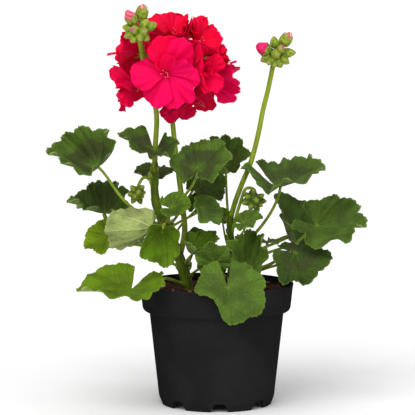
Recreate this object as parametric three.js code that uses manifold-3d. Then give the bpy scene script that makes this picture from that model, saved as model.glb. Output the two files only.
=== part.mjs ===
// A zonal geranium (pelargonium) in a black nursery pot, built in millimetres with +Z up.
// The origin is on the pot's axis, on the surface that the pot stands on. The front of the plant is at -Y,
// and +X is to the right as seen from there.
//
// The plant has two leafy shoots, rooted in the soil. Each leaf is one solid, its petiole and its blade,
// and so is each floret. Stalks and petioles stop a small gap short of the stem that carries them.
import * as THREE from "three";
import { mergeVertices } from "three/addons/utils/BufferGeometryUtils.js";
import Module from "manifold-3d";

const wasm = await Module();
wasm.setup();

// ---- Driving dimensions -------------------------------------------------------------------------

const SEAT_GAP = 0.3; // between a piece and what carries it
const POT_HEIGHT = 103;
const RIM_RADIUS = 65;
const COLLAR_HEIGHT = 22;
const BODY_TOP_RADIUS = 56.9;
const BODY_BASE_RADIUS = 49;
const FOOT_RADIUS = 46.4;
const POT_WALL = 1.4;
const FLOOR_HEIGHT = 5; // the drained floor stands this far above the feet
const PAD_RADIUS = 10; // the foot under the middle of the floor
const NOTCHES = 8;
const NOTCH = { width: 12.5, height: 6, inner: 37, turn: 2.6 };
const POT_SIDES = 26;
const SOIL_TOP = 96.5;
const STEM_DEPTH = 24; // how far a stem stands in the soil

const BLADE_THICKNESS = 0.7;
const PETAL_THICKNESS = 0.62;
const PETIOLE_RADIUS = { foot: 1.7, tip: 1.15 };
const PETIOLE_AHEAD = 1.6; // how far from the base of its blade, towards the tip, a petiole joins it

const DEGREE = Math.PI / 180;
const COLOURS = {
  pot: 0x1b1b1c,
  soil: 0x3a2219,
  stem: 0x7f9a2f,
  leafDark: 0x48663a,
  leaf: 0x57801f,
  leafBright: 0x7a9a1c,
  petal: 0xe8103f,
  bud: 0xb01552,
  budGreen: 0x8aa33c,
};

// ---- Vectors and random draws -------------------------------------------------------------------

const vec = (x, y, z) => new THREE.Vector3(x, y, z);
const along = (start, direction, distance) => start.clone().addScaledVector(direction, distance);

// The same draws on each run, from 0 to 1.
function draws(seed) {
  let state = seed * 7919 + 17;
  return () => {
    state = (state * 16807) % 2147483647;
    return state / 2147483647;
  };
}

// Three unit vectors at right angles: the way the middle lobe points, the left side, and the upper face.
function frameOf(tip, face) {
  const t = vec(...tip).normalize();
  const n = vec(...face);
  n.addScaledVector(t, -n.dot(t)).normalize();
  return { tip: t, left: n.clone().cross(t), face: n };
}

// ---- Closed solids ------------------------------------------------------------------------------

function toSolid(geometry) {
  const bare = new THREE.BufferGeometry().setAttribute("position", geometry.getAttribute("position"));
  bare.setIndex(geometry.index);
  const merged = mergeVertices(bare, 1e-4);
  const triVerts = [];
  for (let i = 0; i < merged.index.count; i += 3) {
    const [a, b, c] = [0, 1, 2].map((k) => merged.index.getX(i + k));
    if (a !== b && b !== c && c !== a) triVerts.push(a, b, c);
  }
  const vertProperties = new Float32Array(merged.attributes.position.array);
  const mesh = new wasm.Mesh({ numProp: 3, vertProperties, triVerts: new Uint32Array(triVerts) });
  return new wasm.Manifold(mesh);
}

function solidFrom(points, triangles) {
  const geometry = new THREE.BufferGeometry().setFromPoints(points);
  geometry.setIndex(triangles.flat());
  return toSolid(geometry);
}

function toGeometry(solid) {
  const mesh = solid.getMesh();
  const geometry = new THREE.BufferGeometry();
  geometry.setAttribute("position", new THREE.BufferAttribute(new Float32Array(mesh.vertProperties), 3));
  geometry.setIndex(new THREE.BufferAttribute(new Uint32Array(mesh.triVerts), 1));
  return geometry;
}

// The bodies of a cut or joined solid, without the crumbs that a cut can leave.
function mainBody(solid) {
  return solid.decompose().reduce((best, body) => (body.volume() > best.volume() ? body : best));
}

const join = (solids) => solids.reduce((all, solid) => all.add(solid));

// A closed skin over rings of points, all with the same count, running the same way round.
function loft(rings) {
  const sides = rings[0].length;
  const triangles = [];
  for (let i = 0; i + 1 < rings.length; i++) {
    for (let k = 0; k < sides; k++) {
      const next = (k + 1) % sides;
      const [a, b] = [i * sides + k, i * sides + next];
      triangles.push([a, b, b + sides], [a, b + sides, a + sides]);
    }
  }
  const last = (rings.length - 1) * sides;
  for (let k = 1; k + 1 < sides; k++) {
    triangles.push([0, k + 1, k], [last, last + k, last + k + 1]);
  }
  return solidFrom(rings.flat(), triangles);
}

// A round stem along a curve. radiusAt takes the share of the length, from 0 to 1.
function tube(curve, radiusAt, steps, sides) {
  const { normals, binormals } = curve.computeFrenetFrames(steps, false);
  const rings = [];
  for (let i = 0; i <= steps; i++) {
    const centre = curve.getPointAt(i / steps);
    const radius = radiusAt(i / steps);
    rings.push(
      Array.from({ length: sides }, (_, k) => {
        const angle = (2 * Math.PI * k) / sides;
        const spoke = normals[i].clone().multiplyScalar(Math.cos(angle));
        return along(centre, spoke.addScaledVector(binormals[i], Math.sin(angle)), radius);
      }),
    );
  }
  return loft(rings);
}

// A straight turned form, such as a bud on its pedicel, from pairs of distance and radius.
function spindle(start, direction, stations, sides, turn = 0) {
  const helper = Math.abs(direction.z) < 0.9 ? vec(0, 0, 1) : vec(1, 0, 0);
  const u = helper.cross(direction).normalize();
  const v = direction.clone().cross(u);
  return loft(
    stations.map(([distance, radius]) =>
      Array.from({ length: sides }, (_, k) => {
        const angle = (2 * Math.PI * k) / sides + turn;
        return along(start, direction, distance)
          .addScaledVector(u, radius * Math.cos(angle))
          .addScaledVector(v, radius * Math.sin(angle));
      }),
    ),
  );
}

// ---- Thin bent blades, for leaves and petals ----------------------------------------------------

// Triangles of a fan: rings of points, from the rim inwards, and last the point where all veins meet.
// Each ring is [share of the length, segments].
function fanSheet(spread, rings, pointAt) {
  const points = [];
  const triangles = [];
  const starts = rings.map(([share, segments]) => {
    const start = points.length;
    for (let i = 0; i <= segments; i++) {
      points.push(pointAt(-spread + (2 * spread * i) / segments, share));
    }
    return start;
  });
  const pole = points.push(pointAt(0, 0)) - 1;
  for (let ring = 0; ring + 1 < rings.length; ring++) {
    const [outer, inner] = [rings[ring][1], rings[ring + 1][1]];
    let [i, j] = [0, 0];
    while (i < outer || j < inner) {
      const [a, b] = [starts[ring] + i, starts[ring + 1] + j];
      if (j === inner || (i < outer && (i + 0.5) / outer <= (j + 0.5) / inner)) {
        triangles.push([a, a + 1, b]);
        i++;
      } else {
        triangles.push([a, b + 1, b]);
        j++;
      }
    }
  }
  const last = rings.length - 1;
  for (let j = starts[last]; j < starts[last] + rings[last][1]; j++) triangles.push([j, j + 1, pole]);
  return { points, triangles };
}

// Closes a sheet into a solid: both faces have the same triangles, half a thickness to each side.
function thicken({ points, triangles }, thickness) {
  const normals = points.map(() => vec(0, 0, 0));
  for (const [a, b, c] of triangles) {
    const normal = points[b].clone().sub(points[a]).cross(points[c].clone().sub(points[a]));
    for (const corner of [a, b, c]) normals[corner].add(normal);
  }
  const count = points.length;
  const upper = points.map((p, i) => along(p, normals[i].normalize(), thickness / 2));
  const lower = points.map((p, i) => along(p, normals[i], -thickness / 2));
  const faces = triangles.flatMap(([a, b, c]) => [[a, b, c], [c + count, b + count, a + count]]);
  const edges = triangles.flatMap(([a, b, c]) => [[a, b], [b, c], [c, a]]);
  const known = new Set(edges.map(([a, b]) => a * count + b));
  for (const [a, b] of edges) {
    if (!known.has(b * count + a)) faces.push([a, a + count, b + count], [a, b + count, b]);
  }
  return solidFrom([...upper, ...lower], faces);
}

// Follows a vein out from the middle of a blade, and returns how far out and how high it gets.
// slopeAt gives the vein's slope, in degrees, at a share of its way.
function followVein(length, share, slopeAt) {
  const steps = 6;
  let [out, up] = [0, 0];
  for (let i = 0; i < steps; i++) {
    const slope = slopeAt((share * (i + 0.5)) / steps) * DEGREE;
    out += (Math.cos(slope) * length * share) / steps;
    up += (Math.sin(slope) * length * share) / steps;
  }
  return { out, up };
}

function placeOnFrame(origin, frame, angle, { out, up }) {
  return along(origin, frame.tip, out * Math.cos(angle))
    .addScaledVector(frame.left, out * Math.sin(angle))
    .addScaledVector(frame.face, up);
}

// ---- Leaves -------------------------------------------------------------------------------------

const LEAF_SPREAD = 168; // degrees: half of the blade's turn round its petiole, up to the gap at its base
const LEAF_LOBES = 7.5; // lobes in a full turn
const LOBE_TURN = (2 * Math.PI) / LEAF_LOBES;
const SMALL_LEAF = 19; // leaves smaller than this have fewer facets
const EVEN_LOBES = [1, 1, 1, 1, 1, 1, 1];
const LEAF_WAVE = { least: 12, more: 8 }; // degrees by which the ruffles of an edge tilt it
const FULL_WAVE_SIZE = 25; // smaller leaves are ruffled less
const LEAF_PLEAT = 8; // degrees that a lobe's middle lies flatter than the folds beside it
const LEAF_OFFSET = 0.3; // the petiole meets the blade this share of a radius behind its middle

// The value at an angle, eased from the values of the lobes on its two sides.
function betweenLobes(values, angle) {
  const place = Math.min(5.999, Math.max(0, angle / LOBE_TURN + 3));
  const lobe = Math.floor(place);
  return THREE.MathUtils.lerp(values[lobe], values[lobe + 1], THREE.MathUtils.smoothstep(place - lobe, 0, 1));
}

// The blade's outline: a circle round a point ahead of the petiole, with shallow lobes.
function leafReach({ size, lobes = EVEN_LOBES, pleat = 1 }, angle) {
  const circle = LEAF_OFFSET * Math.cos(angle) + Math.sqrt(1 - (LEAF_OFFSET * Math.sin(angle)) ** 2);
  return size * betweenLobes(lobes, angle) * circle * (1 + 0.05 * pleat * Math.cos(LEAF_LOBES * angle));
}

function leafPoint(leaf, frame, angle, share) {
  const slopeAt = (way) =>
    betweenLobes(leaf.lift, angle) * Math.min(1, 0.4 + 1.6 * way) +
    leaf.curl * way * way +
    leaf.wave * way * way * Math.sin(3 * angle + leaf.phase) -
    LEAF_PLEAT * (leaf.pleat ?? 1) * way * Math.cos(LEAF_LOBES * angle);
  return placeOnFrame(vec(...leaf.joint), frame, angle, followVein(leafReach(leaf, angle), share, slopeAt));
}

// The petiole's line, from its stem to the underside of the blade.
function petioleCurve(leaf, frame, foot) {
  const joint = vec(...leaf.joint);
  const span = joint.distanceTo(foot);
  const outward = joint.clone().sub(foot).setZ(0).normalize().multiplyScalar(0.8).add(vec(0, 0, 0.6));
  const arrival = frame.face.clone().multiplyScalar(-0.96).addScaledVector(frame.tip, -0.28);
  const end = leafPoint(leaf, frame, 0, PETIOLE_AHEAD / leaf.size);
  if (leaf.via) return new THREE.CatmullRomCurve3([foot, vec(...leaf.via), along(end, arrival, 9), end]);
  const bends = [along(foot, outward, span * 0.35), along(end, arrival, span * 0.3)];
  return new THREE.CubicBezierCurve3(foot, ...bends, end);
}

function makeLeaf(leaf, stems) {
  const frame = frameOf(leaf.tip, leaf.face);
  const spread = (leaf.spread ?? LEAF_SPREAD) * DEGREE;
  const rings = leaf.size < SMALL_LEAF ? [[1, 21], [0.55, 7]] : [[1, 28], [0.55, 10]];
  const sheet = fanSheet(spread, rings, (angle, share) => leafPoint(leaf, frame, angle, share));
  const stem = stems[leaf.stem];
  const foot = stem.curve.getPointAt(leaf.at);
  const stoutness = Math.min(1, 0.55 + leaf.size / 70);
  const radiusAt = (way) => {
    return stoutness * THREE.MathUtils.lerp(PETIOLE_RADIUS.foot, PETIOLE_RADIUS.tip, Math.sqrt(way));
  };
  const petiole = tube(petioleCurve(leaf, frame, foot), radiusAt, leaf.via ? 6 : 4, 4);
  return mainBody(thicken(sheet, BLADE_THICKNESS).add(petiole).subtract(stem.clearance));
}

// Each leaf. stem and at: what it grows from, and at what share of that stem's length. via: a point on
// a petiole's way round. joint: where petiole and blade meet. tip: the way its middle lobe points.
// face: the way its upper side looks. size: its radius. lift: how steeply, in degrees, each of its seven
// lobes rises, from the right one at its base round to the left one. lobes: their lengths, as shares of the
// usual. curl: how much steeper the edge is. spread: as LEAF_SPREAD, for a leaf with a wider gap at its base.
// pleat: how pleated it is, as a share of the usual.
const LEAVES = [
  {
    name: "upper_left", stem: "left", at: 0.57, via: [-75, -18, 172], joint: [-99, -25, 204],
    tip: [-0.35, 0.93, -0.05], face: [-0.6, -0.2, 0.75], size: 31, lift: [14, 44, 70, 65, 66, 50, 18],
    lobes: [1.3, 1.05, 1, 1, 1.2, 1.13, 1.3], curl: 6,
  },
  {
    name: "upper_middle", stem: "left", at: 0.93, joint: [-52, -20, 217], tip: [-0.1, -0.86, -0.5],
    face: [0.27, -0.5, 0.82], size: 29, lift: [28, 5, 24, 32, 24, 54, 70],
    lobes: [1.1, 1.2, 0.75, 0.85, 0.6, 0.8, 0.8], curl: 0, spread: 148,
  },
  {
    name: "centre_top", stem: "left", at: 0.66, joint: [-16, -28, 202], tip: [0.08, 0.93, 0.35],
    face: [-0.05, -0.35, 0.93], size: 25, lift: [-10, 30, 28, 36, 44, 20, -12],
    lobes: [1.15, 1.3, 1.08, 0.9, 0.75, 1, 1], curl: 4,
  },
  {
    name: "back_upper", stem: "right", at: 0.8, joint: [8, 25, 200], tip: [0, 0.83, 0.55],
    face: [0, -0.55, 0.83], size: 20, lift: [10, 38, 62, 58, 63, 55, 50],
    lobes: [0.95, 1.3, 1.1, 1, 1.15, 1, 1], curl: 4,
  },
  {
    name: "right_upper", stem: "right", at: 0.62, joint: [52, 0, 185], tip: [0.96, -0.23, 0.18],
    face: [-0.2, -0.1, 0.98], size: 33, lift: [58, 4, 18, 22, 24, 40, 54],
    lobes: [1.5, 0.95, 1.14, 0.97, 1, 1.1, 1.2], curl: -4, spread: 160,
  },
  {
    name: "right_fan", stem: "right", at: 0.5, joint: [64, 30, 137], tip: [-0.2, 0.1, 0.97],
    face: [0.75, -0.65, 0.1], size: 30, lift: [60, 25, 5, 0, 32, 50, 60], curl: 0,
  },
  {
    name: "right_big", stem: "right", at: 0.47, via: [44, 13, 116], joint: [83, -15, 153],
    tip: [0.83, 0.18, -0.52], face: [0.53, -0.54, 0.65], size: 32, lift: [-10, 6, 46, 48, 46, 64, 18],
    lobes: [0.95, 1.05, 1, 1.04, 1.08, 1, 0.88], curl: 4,
  },
  {
    name: "right_low", stem: "right", at: 0.35, via: [42, -14, 117], joint: [65, -26, 132],
    tip: [0.95, -0.21, -0.23], face: [0.1, -0.5, 0.86], size: 24,
    lift: [-2, -38, -40, 12, -10, -10, -15], lobes: [1.05, 1.3, 1, 1, 0.75, 0.85, 1.05], curl: 4,
    spread: 168,
  },
  {
    name: "front_low", stem: "right", at: 0.35, joint: [9, -62, 107], tip: [0.1, -0.62, -0.78],
    face: [-0.05, -0.78, 0.62], size: 29, lift: [8, 8, 14, -4, 6, 8, 8],
    lobes: [1.25, 1, 0.5, 0.86, 1.03, 1.12, 1.25], curl: -6, pleat: 0.6,
  },
  {
    name: "front_middle", stem: "left", at: 0.24, joint: [-2, -38, 124], tip: [-0.2, -0.2, 0.9],
    face: [-0.1, -0.92, 0.3], size: 15, lift: [11, 12, 10, 8, 10, 12, 11], curl: 0,
  },
  {
    name: "centre_funnel", stem: "right", at: 0.46, joint: [25, -20, 116], tip: [0, 0.89, 0.45],
    face: [0.11, -0.45, 0.89], size: 26, lift: [28, 58, 74, 58, 66, 66, 44],
    lobes: [0.8, 1.05, 1.08, 1, 1, 1.35, 1.3], curl: 4,
  },
  {
    name: "right_inner", stem: "right", at: 0.7, joint: [22, -29, 157], tip: [0.9, -0.25, 0.25],
    face: [-0.1, -0.5, 0.85], size: 13, lift: [15, 15, 11, 6, 11, 15, 15], curl: 0,
  },
  {
    name: "centre_cup", stem: "left", at: 0.32, joint: [-21, -22, 131], tip: [0.88, 0.13, -0.46],
    face: [0.47, -0.3, 0.8], size: 22, lift: [42, 38, 60, 64, 64, 70, 40],
    lobes: [1.15, 1, 0.85, 0.95, 1.05, 1, 1.08], curl: 8, pleat: 0.5,
  },
  {
    name: "centre_round", stem: "left", at: 0.6, joint: [-38, -32, 170], tip: [0.9, -0.2, 0.1],
    face: [-0.1, -0.75, 0.65], size: 13.5, lift: [17, 20, 16, 10, 16, 20, 17], curl: 6, pleat: 0.2,
  },
  {
    name: "left_pale", stem: "left", at: 0.45, joint: [-55, -34, 154], tip: [-0.65, -0.74, -0.17],
    face: [-0.75, 0.66, -0.05], size: 29.5, lift: [54, 70, 66, 66, 64, 52, 30],
    lobes: [1.3, 1.17, 1.2, 1.05, 1.02, 0.95, 0.85], curl: 4, pleat: 0.2,
  },
  {
    name: "left_bright", stem: "left", at: 0.38, via: [-45, -22, 131], joint: [-45, -42, 152],
    tip: [-0.28, 0.63, -0.72], face: [-0.17, -0.77, -0.61], size: 21, lift: [39, 58, 68, 72, 62, 51, 22],
    lobes: [1.35, 1.22, 1.2, 1.08, 1.3, 1.25, 1.3], curl: 4, pleat: 0.35,
  },
  {
    name: "left_dark", stem: "left", at: 0.46, joint: [-95, 0, 163], tip: [0, 1, 0.1],
    face: [-0.05, -0.1, 1], size: 29, lift: [6, 50, 57, 50, 57, 38, 22],
    lobes: [1.2, 1, 0.82, 0.9, 0.82, 1, 1.1], curl: 8,
  },
  {
    name: "low_left", stem: "left", at: 0.2, via: [-47, -33, 110], joint: [-71, -50, 104],
    tip: [-0.45, -0.88, -0.15], face: [-0.05, -0.1, 0.98], size: 35, lift: [46, 24, 8, 2, 4, 4, 22],
    lobes: [0.95, 1.15, 1.1, 0.8, 0.8, 0.95, 1.15], curl: 8, pleat: 0.5,
  },
  {
    name: "stem_top", stem: "left", at: 0.84, joint: [-53, 10, 191], tip: [0.1, 0.95, 0.15],
    face: [0, -0.3, 0.95], size: 18, lift: [19, 24, 20, 16, 20, 24, 19], curl: 0,
  },
  {
    name: "centre_dark", stem: "left", at: 0.58, joint: [-14, 8, 190], tip: [0.55, -0.1, -0.5],
    face: [0.1, -0.6, 0.75], size: 19, lift: [11, 10, 7, 4, 7, 10, 11], curl: 4,
  },
  {
    name: "centre_fold", stem: "left", at: 0.57, joint: [-13, -22, 169], tip: [0.6, -0.3, -0.6],
    face: [0.45, -0.6, 0.6], size: 16, lift: [45, 40, 12, 4, 12, 20, 14], curl: 0,
  },
  {
    name: "centre_bud", stem: "left", at: 0.5, via: [-29, 12, 152], joint: [-18, 16, 166],
    tip: [0.25, 0.1, 0.9], face: [-0.2, -0.9, 0.2], size: 9, lift: [17, 22, 16, 8, 16, 22, 17], curl: 0,
  },
  {
    name: "centre_small", stem: "left", at: 0.3, joint: [-17, 5, 139], tip: [-0.2, 0.2, 0.95],
    face: [0, -0.95, 0.15], size: 8, lift: [17, 20, 14, 6, 14, 20, 17], curl: 0,
  },
  {
    name: "right_small", stem: "right", at: 0.62, joint: [6, 8, 157], tip: [-0.6, 0.3, 0.5],
    face: [0, -0.7, 0.6], size: 8, lift: [15, 15, 11, 6, 11, 15, 15], curl: 0,
  },
  {
    name: "back_left_high", stem: "left", at: 0.44, joint: [-97, 62, 156], tip: [-0.6, 0.75, 0.05],
    face: [0, 0.15, 0.97], size: 28, lift: [16, 20, 15, 8, 15, 20, 16], curl: -6,
  },
  {
    name: "back_centre_high", stem: "left", at: 0.62, joint: [-14, 62, 188], tip: [0.2, 0.95, 0.05],
    face: [0, 0.1, 0.98], size: 27, lift: [13, 16, 12, 6, 12, 16, 13], curl: -6,
  },
  {
    name: "back_right_high", stem: "right", at: 0.42, joint: [84, 76, 150], tip: [0.6, 0.75, 0],
    face: [0, 0.15, 0.97], size: 28, lift: [15, 18, 14, 8, 14, 18, 15], curl: -6,
  },
  {
    name: "back_centre_low", stem: "right", at: 0.6, joint: [44, 60, 130], tip: [0.15, 0.95, -0.1],
    face: [0, 0.3, 0.95], size: 25, lift: [13, 16, 12, 6, 12, 16, 13], curl: -4,
  },
  {
    name: "back_left_low", stem: "left", at: 0.28, joint: [-64, 58, 128], tip: [-0.4, 0.88, -0.15],
    face: [0, 0.3, 0.95], size: 24, lift: [13, 16, 12, 6, 12, 16, 13], curl: -4,
  },
  {
    name: "behind_bright", stem: "left", at: 0.36, joint: [-92, 12, 142], tip: [-0.85, -0.1, -0.5],
    face: [-0.35, -0.7, 0.6], size: 17, lift: [14, 12, 8, 4, 8, 12, 14], curl: 4,
  },
];

const YOUNG_LEAVES = ["left_pale", "left_bright", "behind_bright", "low_left", "centre_cup", "centre_round"];
const OLD_LEAVES = [
  "upper_left", "upper_middle", "centre_top", "stem_top", "back_upper", "right_upper", "right_big",
  "left_dark", "centre_dark",
];

// ---- Stems and stalks ---------------------------------------------------------------------------

const smoothCurve = (points) => new THREE.CatmullRomCurve3(points.map((p) => vec(...p)));

// A stem with its swollen joints, and the same stem one seat gap thicker, which cuts room in its neighbours.
function makeStem({ points, radii, nodes, steps }) {
  const curve = smoothCurve(points);
  const radiusAt = (way) => {
    const swelling = nodes.reduce((sum, node) => sum + Math.exp(-(((way - node) / 0.03) ** 2)), 0);
    return radii[0] + (radii[1] - radii[0]) * way + 0.5 * swelling;
  };
  return {
    curve,
    solid: tube(curve, radiusAt, steps, 8),
    clearance: tube(curve, (way) => radiusAt(way) + SEAT_GAP, steps, 8),
  };
}

const STEM_FOOT = SOIL_TOP - STEM_DEPTH;
const STEMS = {
  left: {
    points: [
      [-22, 0, STEM_FOOT], [-24, 0, 95], [-28, -2, 114], [-34, -4, 131],
      [-43, -6, 150], [-49.5, -6, 166], [-52, -6, 180], [-52, -6, 206],
    ],
    radii: [5.2, 3],
    nodes: [0.3, 0.46, 0.6, 0.75, 0.9],
    steps: 14,
  },
  right: {
    points: [
      [9.5, 2, STEM_FOOT], [10.5, 2, 97], [12.2, 0, 114], [13, 0, 131], [11.5, 0, 148], [12, 0, 160],
    ],
    radii: [3.3, 2.7],
    nodes: [0.36, 0.55, 0.75, 0.92],
    steps: 10,
  },
};

// ---- The flower head ----------------------------------------------------------------------------

const HEAD_CENTRE = [-37, 6, 280];
const HEAD_STALK = [
  [-27, 1, 146], [-28.4, 1, 165], [-31.5, 1, 190], [-34.2, 0, 211], [-36, 1, 228], [-37.6, 3, 247],
];
const PETAL_WIDTH = 48; // degrees to each side of a petal's middle
const PETAL_WAVE = 16;
const PETAL_GAP = 0.5; // between the petals of neighbouring florets

// Five petals round a floret, from the angle of the first.
const whorl = (first, length, lift) => Array.from({ length: 5 }, (_, i) => [first + 72 * i, length, lift]);

// Each floret: dir: the way it faces, from the middle of the head. reach: its pedicel's length. gain: how much
// room it takes from its neighbours. curl: how a petal's slope changes up to its end. petals: the angle of
// each, seen from outside, from the floret's upper side; its length; its slope, in degrees; its half width.
const FLORETS = [
  {
    name: "front", dir: [-0.13, -0.98, 0.02], reach: 31, gain: 1.2, curl: -26,
    petals: [
      [0, 35, 30, 48], [92, 29, 20, 44], [153, 31, 16, 46], [210, 33, 16, 46], [264, 31, 30, 28],
      [292, 29, 40, 34], [322, 34, 26, 44],
    ],
  },
  {
    name: "front_right", dir: [0.55, -0.82, 0.1], reach: 30, gain: 0.98, curl: -10,
    petals: [
      [14, 31, 46], [70, 33, 38], [140, 31, 50], [212, 29, 56], [290, 29, 50],
    ],
  },
  {
    name: "top", dir: [-0.02, -0.44, 0.9], reach: 31, gain: 1, curl: -30,
    petals: [
      [36, 31, 34], [108, 29, 38], [180, 34, 30], [244, 35, 26], [316, 31, 34],
    ],
  },
  {
    name: "top_right", dir: [0.56, -0.4, 0.72], reach: 32, gain: 1, curl: -26,
    petals: [
      [30, 31, 36], [110, 34, 24], [165, 34, 24], [225, 31, 34], [300, 31, 36],
    ],
  },
  {
    name: "right_high", dir: [0.88, -0.04, 0.47], reach: 31, gain: 1, curl: -30,
    petals: whorl(0, 30, 38),
  },
  {
    name: "right", dir: [0.96, -0.22, -0.14], reach: 32, gain: 1, curl: -16,
    petals: [
      [10, 27, 50], [92, 34, 64], [176, 27, 50], [240, 31, 44], [300, 31, 36],
    ],
  },
  {
    name: "bottom", dir: [0.28, -0.52, -0.81], reach: 24, gain: 0.94, curl: -28,
    petals: whorl(0, 24, 40),
  },
  {
    name: "left", dir: [-0.93, -0.26, -0.24], reach: 31, gain: 0.98, curl: -26,
    petals: [
      [30, 25, 50], [100, 29, 40], [172, 27, 50, 32], [232, 28, 56, 30], [290, 28, 60, 36],
    ],
  },
  {
    name: "left_high", dir: [-0.8, -0.22, 0.54], reach: 32, gain: 1, curl: -22,
    petals: [
      [40, 30, 38], [115, 30, 38], [190, 26, 44], [262, 30, 54], [325, 27, 44],
    ],
  },
  {
    name: "back_left", dir: [-0.62, 0.77, 0.05], reach: 30, gain: 1, curl: -32, petals: whorl(0, 32, 34),
  },
  {
    name: "back_right", dir: [0.58, 0.8, -0.12], reach: 30, gain: 1, curl: -32,
    petals: whorl(20, 32, 34),
  },
  {
    name: "back_top", dir: [0.02, 0.66, 0.75], reach: 30, gain: 1, curl: -32, petals: whorl(0, 32, 34),
  },
];

// The left bud head stands among the florets, which leave room for it.
const BUD_ROOM = { dir: [-0.46, -0.66, 0.58], gain: 0.98 };

// Petals press against their neighbours': a point that would pass into another floret's room
// stays at its edge.
function pressInto(point, floret, depth) {
  const centre = vec(...HEAD_CENTRE);
  const own = vec(...floret.dir).normalize().multiplyScalar(floret.gain);
  for (let round = 0; round < 2; round++) {
    for (const other of [...FLORETS, BUD_ROOM]) {
      if (other === floret) continue;
      const across = vec(...other.dir).normalize().multiplyScalar(other.gain).sub(own).negate().normalize();
      const inside = point.clone().sub(centre).dot(across);
      if (inside < depth) point.addScaledVector(across, depth - inside);
    }
  }
  return point;
}

// A petal's outline is narrow at its foot and round at its end. side goes from -1 to 1 across it.
const petalReach = (side) => Math.cos(side * 76 * DEGREE) ** 0.38;

function makeFloret(floret, random) {
  const dir = vec(...floret.dir).normalize();
  const base = along(vec(...HEAD_CENTRE), dir, floret.reach);
  const upward = Math.abs(dir.z) > 0.9 ? [0, 1, 0] : [0, 0, 1];
  const rest = frameOf(floret.dir, upward); // its face is then the floret's upper side
  const heart = spindle(base, dir, [[SEAT_GAP, 2], [2.6, 1.3]], 5);
  const petals = floret.petals.map(([turn, size, rise, width = PETAL_WIDTH], number) => {
    const [angle, spread] = [turn * DEGREE, width * DEGREE];
    const outward = rest.face.clone().multiplyScalar(Math.cos(angle));
    outward.addScaledVector(rest.left, -Math.sin(angle));
    const frame = { tip: outward, face: dir, left: dir.clone().cross(outward) };
    const foot = along(along(base, dir, 1.6), outward, 0.5);
    const length = size * (0.92 + 0.16 * random());
    const [phase, lean, lift] = [random() * 6.3, 9 + 5 * random(), rise + 10 * (random() - 0.5)];
    const sheet = fanSheet(spread, [[1, 5], [0.6, 2]], (turned, share) => {
      const slopeAt = (way) =>
        lift +
        floret.curl * way +
        (lean * turned) / spread +
        PETAL_WAVE * way * way * Math.sin(5 * turned + phase);
      const vein = followVein(length * petalReach(turned / spread), share, slopeAt);
      const depth = PETAL_GAP + Math.min(0.15 + 0.2 * number, 0.15 * (vein.out + vein.up));
      return pressInto(placeOnFrame(foot, frame, turned, vein), floret, depth);
    });
    return thicken(sheet, PETAL_THICKNESS);
  });
  return mainBody(join([heart, ...petals]));
}

// The stalk of the head, the pedicels that spread from its top, and the green cup under each floret.
function makeHeadStalk(stem) {
  const centre = vec(...HEAD_CENTRE);
  const foot = stem.curve.getPointAt(0.38);
  const curve = smoothCurve([foot.toArray(), ...HEAD_STALK, HEAD_CENTRE]);
  const swelling = (way) => 1.4 * Math.exp(-(((1 - way) / 0.02) ** 2));
  const stalk = tube(curve, (way) => 2.1 + 0.3 * (1 - way) + swelling(way), 9, 7);
  const pedicels = FLORETS.map(({ dir, reach }) =>
    spindle(centre, vec(...dir).normalize(), [[0, 1.1], [reach - 5, 1], [reach, 2.3]], 4),
  );
  return mainBody(join([stalk, ...pedicels]).subtract(stem.clearance));
}

// ---- Bud heads ----------------------------------------------------------------------------------

// Buds all round the end of a stalk, from its axis on, as the way, length and thickness of each.
function budBall(seed, axisWay, count, spread, length, thick) {
  const random = draws(seed);
  const axis = vec(...axisWay).normalize();
  const helper = frameOf(axisWay, Math.abs(axis.z) > 0.9 ? [0, 1, 0] : [0, 0, 1]);
  return Array.from({ length: count }, (_, i) => {
    const height = 1 - (spread * (i + 0.5)) / count;
    const turn = i * 2.39996 + 0.4 * random();
    const flat = Math.sqrt(Math.max(0, 1 - height * height));
    const direction = axis.clone().multiplyScalar(height)
      .addScaledVector(helper.left, flat * Math.cos(turn))
      .addScaledVector(helper.face, flat * Math.sin(turn));
    return [direction.toArray(), length * (0.8 + 0.35 * random()), thick * (0.85 + 0.3 * random())];
  });
}

// A head of green buds on its stalk, with the cups of those that have begun to open.
function makeBudHead(head, stem) {
  const centre = vec(...head.stalk.at(-1));
  const foot = stem.curve.getPointAt(head.at);
  const curve = smoothCurve([foot.toArray(), ...head.stalk]);
  const { radius } = head;
  const stalk = tube(curve, (way) => radius * (1.12 - 0.12 * way), head.steps, 5);
  const coreStations = [[-1, 0.5], [-0.4, 1], [0.6, 0.8], [1.1, 0.3]];
  const core = spindle(
    centre,
    vec(...head.axis).normalize(),
    coreStations.map(([way, wide]) => [way * head.core, wide * head.core]),
    6,
  );
  const buds = head.buds.map(([dir, length, thick], number) => {
    const stations = [[head.core * BUD_FOOT, 0.7], [length * 0.6, thick], [length, 0.4]];
    return spindle(centre, vec(...dir).normalize(), stations, head.sides, number);
  });
  const cups = (head.open ?? []).map(({ dir, reach, size }) => {
    const stations = [[0, 0.9], [reach - 4, 1], [reach - 1, size * 0.72], [reach, size * 0.78]];
    return spindle(centre, vec(...dir).normalize(), stations, 6);
  });
  return mainBody(join([stalk, core, ...buds, ...cups]).subtract(stem.clearance));
}

// A bud that shows its petals: a round pink body in its green cup.
function makeOpenBud(head, { dir, reach, size, length }) {
  const centre = vec(...head.stalk.at(-1));
  const direction = vec(...dir).normalize();
  const profile = [[0, 0.74], [0.22, 0.95], [0.5, 1], [0.78, 0.72], [1, 0.2]];
  const stations = profile.map(([way, wide]) => [reach + SEAT_GAP + way * length, wide * size]);
  return spindle(centre, direction, stations, 7);
}

const BUD_FOOT = 0.8; // a bud's pedicel starts at this share of the radius of the head's middle

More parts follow.
